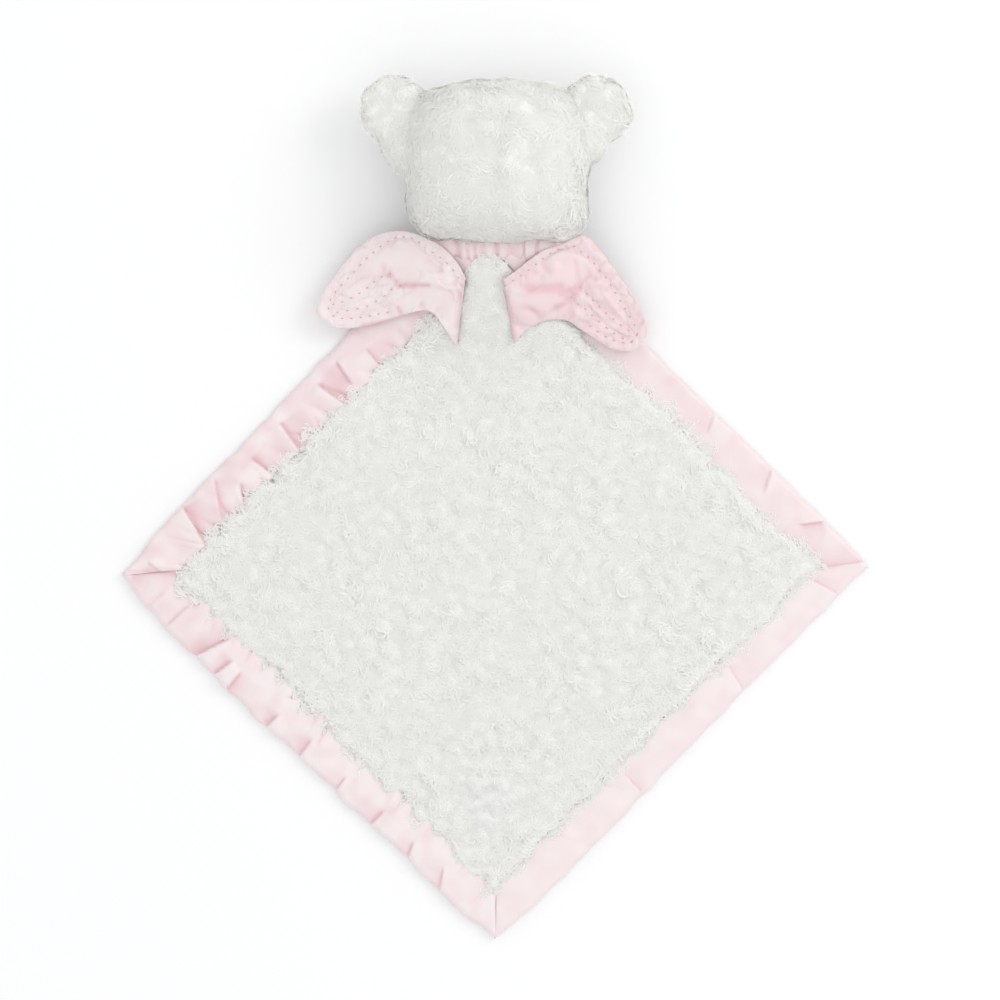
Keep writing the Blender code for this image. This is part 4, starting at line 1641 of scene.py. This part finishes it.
# %% Wing shapes
def smooth_path(points, count):
    """Evenly spaced points on the smooth curve through some others."""
    given = [Vector(point) for point in points]
    path = []
    for i in range(len(given) - 1):
        p1, p2 = given[i], given[i + 1]
        p0 = given[i - 1] if i else 2.0 * p1 - p2
        p3 = given[i + 2] if i + 2 < len(given) else 2.0 * p2 - p1
        for t in np.linspace(0.0, 1.0, 16, endpoint=False):
            bend = (2.0 * p0 - 5.0 * p1 + 4.0 * p2 - p3) * t * t
            cube = (3.0 * (p1 - p2) + p3 - p0) * t**3
            path.append((2.0 * p1 + (p2 - p0) * t + bend + cube) / 2.0)
    path.append(given[-1])
    flat = np.array([tuple(p) for p in path])
    run = np.concatenate([[0.0], np.cumsum(np.linalg.norm(np.diff(flat, axis=0), axis=1))])
    even = np.linspace(0.0, run[-1], count)
    return np.stack([np.interp(even, run, flat[:, k]) for k in range(flat.shape[1])], axis=-1)


def distance_to_path(x, y, path):
    """Least distance of arrays of places from a path of points."""
    nearest = np.full(np.shape(x), 1.0)
    for a, b in zip(path[:-1], path[1:]):
        span = b - a
        length = float(span @ span) or 1e-12
        t = np.clip(((x - a[0]) * span[0] + (y - a[1]) * span[1]) / length, 0.0, 1.0)
        nearest = np.minimum(nearest, np.hypot(x - a[0] - t * span[0], y - a[1] - t * span[1]))
    return nearest


left_wing = {
    "leading": [(466, 280), (456, 263), (441, 248), (422, 238), (404, 233), (386, 234), (370, 240),
                (352, 255), (335, 278), (323, 295), (317, 308)],
    "trailing": [(457, 348), (449, 336), (437, 318), (428, 312), (415, 313), (402, 317), (388, 321),
                 (365, 327), (345, 329), (332, 326), (321, 318)],
    "edge_stitches": [(459, 280), (450, 268), (437, 257), (428, 252), (415, 241), (402, 239),
                      (390, 242), (370, 257), (357, 270), (345, 283), (338, 290), (331, 301),
                      (329, 308), (332, 315), (340, 319), (362, 318), (388, 313)],
    "feather_stitches": [
        [(391, 275), (380, 279), (370, 287), (357, 296), (345, 302), (334, 305)],
        [(401, 287), (393, 290), (385, 297), (370, 306), (355, 310), (338, 313)],
    ],
    "hem_stitches": [(433, 316), (440, 325), (448, 339)],
}
right_wing = {
    "leading": [(503, 282), (515, 274), (530, 262), (545, 252), (560, 247), (573, 240), (585, 237),
                (600, 252), (614, 270), (628, 290), (639, 308), (646, 325)],
    "trailing": [(514, 345), (522, 335), (537, 325), (552, 321), (567, 322), (580, 330), (595, 340),
                 (610, 349), (625, 352), (636, 349), (643, 341)],
    "edge_stitches": [(505, 288), (516, 281), (528, 273), (538, 265), (548, 257), (562, 250),
                      (572, 247), (578, 252), (588, 259), (600, 273), (609, 284), (620, 302),
                      (632, 322), (637, 334), (633, 341), (620, 343), (603, 336), (590, 327)],
    "feather_stitches": [
        [(580, 289), (592, 301), (607, 315), (622, 327), (636, 336)],
        [(571, 299), (578, 306), (586, 311), (597, 321), (607, 329), (620, 338), (631, 343)],
    ],
    "hem_stitches": [(517, 341), (526, 332), (539, 325)],
}
outlines = [wing["leading"] + wing["trailing"] for wing in (left_wing, right_wing)]
print("wing outlines:", [len(outline) for outline in outlines])


# %% Creases of the wings
class Crease:
    """A soft crease between two pixels: how deep and how wide it is, in metres."""

    def __init__(self, start, end, depth, width):
        self.start = place(start)
        self.end = place(end)
        self.depth = depth
        self.width = width

    def share(self, x, y):
        """1 along the crease, falling to 0 beside it and at its ends."""
        ahead, left, length = beside_line(x, y, self.start, self.end)
        fade = eased((ahead + self.width) / (2.0 * self.width))
        fade = fade * eased((length + self.width - ahead) / (2.0 * self.width))
        return fade * np.exp(-((left / self.width) ** 2))


left_wing["creases"] = [
    Crease((399, 287), (430, 288), 0.0015, 0.0017),
    Crease((388, 275), (399, 287), 0.0012, 0.0018),
    Crease((388, 275), (380, 266), 0.0006, 0.0018),
    Crease((360, 328), (404, 318), 0.0018, 0.0016),
    Crease((404, 318), (397, 309), 0.0012, 0.0016),
    Crease((420, 306), (452, 342), 0.0010, 0.0016),
    Crease((462, 284), (456, 332), 0.0007, 0.0018),
    Crease((425, 262), (446, 276), 0.0005, 0.0024),
    Crease((350, 288), (372, 276), 0.0004, 0.0020),
]
right_wing["creases"] = [
    Crease((524, 291), (562, 289), 0.0014, 0.0030),
    Crease((580, 289), (558, 296), 0.0010, 0.0018),
    Crease((580, 289), (573, 262), 0.0006, 0.0020),
    Crease((571, 299), (552, 312), 0.0010, 0.0022),
    Crease((571, 299), (580, 289), 0.0012, 0.0018),
    Crease((506, 298), (513, 345), 0.0013, 0.0017),
    Crease((571, 299), (570, 318), 0.0008, 0.0020),
    Crease((585, 296), (598, 282), 0.0005, 0.0022),
    Crease((520, 306), (545, 316), 0.0005, 0.0026),
]
# Painted shade: the right wing's pink is painted deeper than the left's.
left_wing["tone"] = 0.10
right_wing["tone"] = 0.46
print("creases:", len(left_wing["creases"]), len(right_wing["creases"]))


# %% Wing layers
wing_counts = (84, 52)
wing_lift = 0.0040
wing_loft = 0.0030
wing_edge_thickness = 0.0011
wing_tip_round = 0.0010
crown_beside_stitches, crown_beside_edge, crown_beside_root = 0.0042, 0.0040, 0.012
under_wing_shade = 0.3


def pixel_path(pixels, count):
    """Evenly spaced points on the smooth curve through some pixels."""
    return smooth_path([place(pixel) for pixel in pixels], count)


def wing_rest(x, y):
    """The height that a wing lies at on the blanket."""
    return back_top + drape_rise(x, y) + fit_gap


def wing_layers(wing, side):
    """The under layer and the lofted top layer of a wing as grids, and what shapes them."""
    rows, columns = wing_counts
    lead = pixel_path(wing["leading"], rows)
    trail = pixel_path(wing["trailing"], rows)
    v = np.linspace(0.0, 1.0, columns)[None, :, None]
    flat = trail[:, None, :] * (1.0 - v) + lead[:, None, :] * v
    nose = (trail[-1] + lead[-1]) / 2.0 + np.array([side * wing_tip_round, 0.0])
    tip = smooth_path([trail[-1], nose, lead[-1]], columns)
    u = np.linspace(0.0, 1.0, rows)[:, None]
    flat = flat + eased((u - 0.90) / 0.10)[..., None] * (tip - flat[-1])[None]
    x, y = flat[..., 0], flat[..., 1]
    root_z = wing_rest(x[0], y[0])
    line = np.linspace(root_z[0], root_z[-1], columns)
    line = line + max(float(np.max(root_z - line)), 0.0)
    extra = (line - root_z)[None, :] * (1.0 - eased(u / 0.30))
    under = wing_rest(x, y) + wing_lift * eased(u) + extra
    outline = np.concatenate([lead, trail[::-1], lead[:1]])
    edge = distance_to_path(x, y, outline)
    lines = [pixel_path(wing["edge_stitches"], 60)]
    lines += [pixel_path(pixels, 30) for pixels in wing["feather_stitches"]]
    lines.append(pixel_path(wing["hem_stitches"], 20))
    sewn = np.minimum.reduce([distance_to_path(x, y, path) for path in lines])
    root = distance_to_path(x, y, np.stack([trail[0], lead[0]]))
    crown = 1.0 - np.exp(-((sewn / crown_beside_stitches) ** 1.6))
    crown = crown * (1.0 - np.exp(-((edge / crown_beside_edge) ** 1.4)))
    crown = crown * (0.25 + 0.75 * eased(root / crown_beside_root))
    top = under + wing_edge_thickness + wing_loft * crown
    low, high = [np.stack([x, y, z], axis=-1) for z in (under, top)]
    return low, high, {"sewn": sewn, "edge": edge, "root": root, "lines": lines}


layers = [wing_layers(left_wing, -1.0), wing_layers(right_wing, 1.0)]
lofts = [float((high - low)[..., 2].max()) for low, high, _ in layers]
print("loft above the under layer:", [round(loft, 4) for loft in lofts])

# %% [markdown]
# The simulation runs at ten times the real size, where the cloth solver is steadier. The top
# layer is cut a little too large, held along its edges and stitches, and blown up from below,
# so that the spare cloth wrinkles away from each sewn line as it does on the real wings. How
# far a point may move is capped.

# %% Cloth simulation of the top layers
sim_scale = 10.0
sim_frames = 14
most_moved = 0.0014
spare_cloth = 0.05
held_beside_stitches, held_beside_edge = 0.0007, 0.0006


def cloth_sheet(name, high, shaping):
    """The top layer, enlarged, as a cloth that is held where it is sewn."""
    made = mesh_object(name, high * sim_scale, grid_faces(*wing_counts))
    held = (shaping["sewn"] < held_beside_stitches) | (shaping["edge"] < held_beside_edge)
    group = made.vertex_groups.new(name="sewn")
    group.add([int(i) for i in np.flatnonzero(held.ravel())], 1.0, "REPLACE")
    cloth = made.modifiers.new("cloth", "CLOTH")
    settings = cloth.settings
    settings.quality = 6
    settings.mass = 0.3
    settings.tension_stiffness = 12.0
    settings.compression_stiffness = 12.0
    settings.shear_stiffness = 4.0
    settings.bending_stiffness = 0.10
    settings.vertex_group_mass = "sewn"
    settings.shrink_min = -spare_cloth
    settings.use_pressure = True
    settings.uniform_pressure_force = 1.0
    settings.effector_weights.gravity = 0.0
    cloth.collision_settings.use_collision = False
    return made


def simulated(highs):
    """Runs the cloth of every top layer at once, and returns where the points come to rest."""
    sheets = [cloth_sheet(f"cloth_{i}", high, layers[i][2]) for i, high in enumerate(highs)]
    for frame_number in range(1, sim_frames + 1):
        bpy.context.scene.frame_set(frame_number)
    graph = bpy.context.evaluated_depsgraph_get()
    rested = []
    for sheet, high in zip(sheets, highs):
        moved = np.empty(high.size, np.float32)
        sheet.evaluated_get(graph).data.vertices.foreach_get("co", moved)
        moved = moved.reshape(high.shape) / sim_scale - high
        rested.append(high + np.clip(moved, -most_moved, most_moved))
        bpy.data.objects.remove(sheet)
    bpy.context.scene.frame_set(1)
    return rested


tops = simulated([high for _, high, _ in layers])
moves = [float(np.abs(top - high).mean()) for top, (_, high, _) in zip(tops, layers)]
print("mean movement in the simulation:", [round(move, 5) for move in moves])


# %% Wings as closed pads
crease_edge_share, crease_edge_run = 0.3, 0.0020
least_thickness = 0.55 * wing_edge_thickness
wing_hollow_shade, wing_hollow_reach, wing_hollow_depth = 0.28, 3, 0.0006
crease_full_shade = 0.0019
root_shade, root_shade_reach = 0.40, 0.0022
wing_cloud_shade, wing_cloud_size = 0.12, 0.012


def wing_mesh(name, wing, low, top, shaping):
    """Both layers of a wing as one closed mesh, creased, with shade painted into its colour where
    it is deep.
    """
    x, y = low[..., 0], low[..., 1]
    creases = sum(crease.depth * crease.share(x, y) for crease in wing["creases"])
    inner = eased(shaping["edge"] / crease_edge_run)
    high = top.copy()
    high[..., 2] -= creases * (crease_edge_share + (1.0 - crease_edge_share) * inner)
    high[..., 2] = np.maximum(high[..., 2], low[..., 2] + least_thickness)
    height = high[..., 2] - low[..., 2]
    # Painted shade: the pink is painted deeper in hollows and creases, along the root and on the
    # under layer; random clouds vary it too.
    hollow = hollows(height, wing_hollow_reach, wing_hollow_depth)
    shade = wing["tone"] + wing_hollow_shade * hollow + creases / crease_full_shade
    shade = shade + root_shade * np.exp(-((shaping["root"] / root_shade_reach) ** 2))
    shade = shade + wing_cloud_shade * noise_at(x, y, wing_cloud_size, 90.0)
    shade = np.clip(shade, 0.0, 1.0)
    made = slab_mesh(name, low, high, pink_satin)
    add_weave(made, [x, x], [y, y])
    add_attribute(made, "fold", "FLOAT", [np.full(shade.shape, under_wing_shade), shade])
    outward(made)
    return made


wings = []
wing_bodies = ("wing_left", "wing_right")
for body, wing, (low, _, shaping), top in zip(wing_bodies, (left_wing, right_wing), layers, tops):
    made = wing_mesh(f"{body}_satin", wing, low, top, shaping)
    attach(made, body)
    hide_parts(f"{body}_under", f"{body}_wadding", f"{body}_top")
    wings.append(made)
print("wing faces:", [len(made.data.polygons) for made in wings])

# %% [markdown]
# ## Stitches
#
# The wings are sewn with a darker pink thread that shows as a short bar at each stitch. One
# stitch is modelled, and Geometry Nodes lay it along the sewn lines at an even pitch.


# %% Stitch tree
def stitch_tree():
    """The tree, with the identifiers of its inputs."""
    inputs = {"Lines": "Geometry", "Pitch": "Float", "Stitch": "Object", "Finish": "Material"}
    graph, given, identifiers = geometry_tree("lay_stitches", inputs, "Stitches")
    curves = graph.add("GeometryNodeMeshToCurve", {}, {"Mesh": given["Lines"]})
    by_length = {"Curve": curves, "Length": given["Pitch"]}
    points = graph.add("GeometryNodeCurveToPoints", {"mode": "LENGTH"}, by_length)
    stitch = graph.add("GeometryNodeObjectInfo", {}, {"Object": given["Stitch"]})["Geometry"]
    rotation = graph.aligned("X", points["Tangent"])
    on_points = {"Points": points, "Instance": stitch, "Rotation": rotation}
    laid = graph.add("GeometryNodeInstanceOnPoints", {}, on_points)
    real = graph.add("GeometryNodeRealizeInstances", {}, {"Geometry": laid})
    graph.finish(real, given["Finish"])
    return graph.tree, identifiers


lay_stitches, stitch_inputs = stitch_tree()
stitch_length, stitch_thickness = 0.0019, 0.00058
stitch_pitch = 0.0058
stitch_gap = 0.0002
looking_from, looking_down = 1.0, Vector((0.0, 0.0, -1.0))


def stitch_point(direction):
    """One stitch: a small thread bar whose ends dip into the cloth."""
    size = Vector((stitch_length, stitch_thickness, stitch_thickness)) / 2.0
    dip = 0.55 * stitch_thickness * direction.x**2
    return direction * size - Vector((0.0, 0.0, dip))


one_stitch = bpy.data.objects.new("one_stitch", ball_mesh("one_stitch", 2, stitch_point))


def stitches_on(name, surface, paths):
    """Stitches along paths seen from above, on the top of a surface."""
    graph = bpy.context.evaluated_depsgraph_get()
    points, edges = [], []
    for path in paths:
        start = len(points)
        for x, y in path:
            above = Vector((x, y, looking_from))
            hit, at, *_ = surface.ray_cast(above, looking_down, depsgraph=graph)
            if hit:
                points.append(at + Vector((0.0, 0.0, stitch_gap)))
        edges += [(i, i + 1) for i in range(start, len(points) - 1)]
    made = mesh_object(name, points, [], edges=edges)
    values = {"Pitch": stitch_pitch, "Stitch": one_stitch, "Finish": stitch_thread}
    return run_tree(made, lay_stitches, stitch_inputs, values)


for body, made, (_, _, shaping) in zip(wing_bodies, wings, layers):
    stitches = stitches_on(f"{body}_stitches", made, shaping["lines"])
    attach(stitches, body)
    print(stitches.name, len(stitches.data.polygons), "faces")
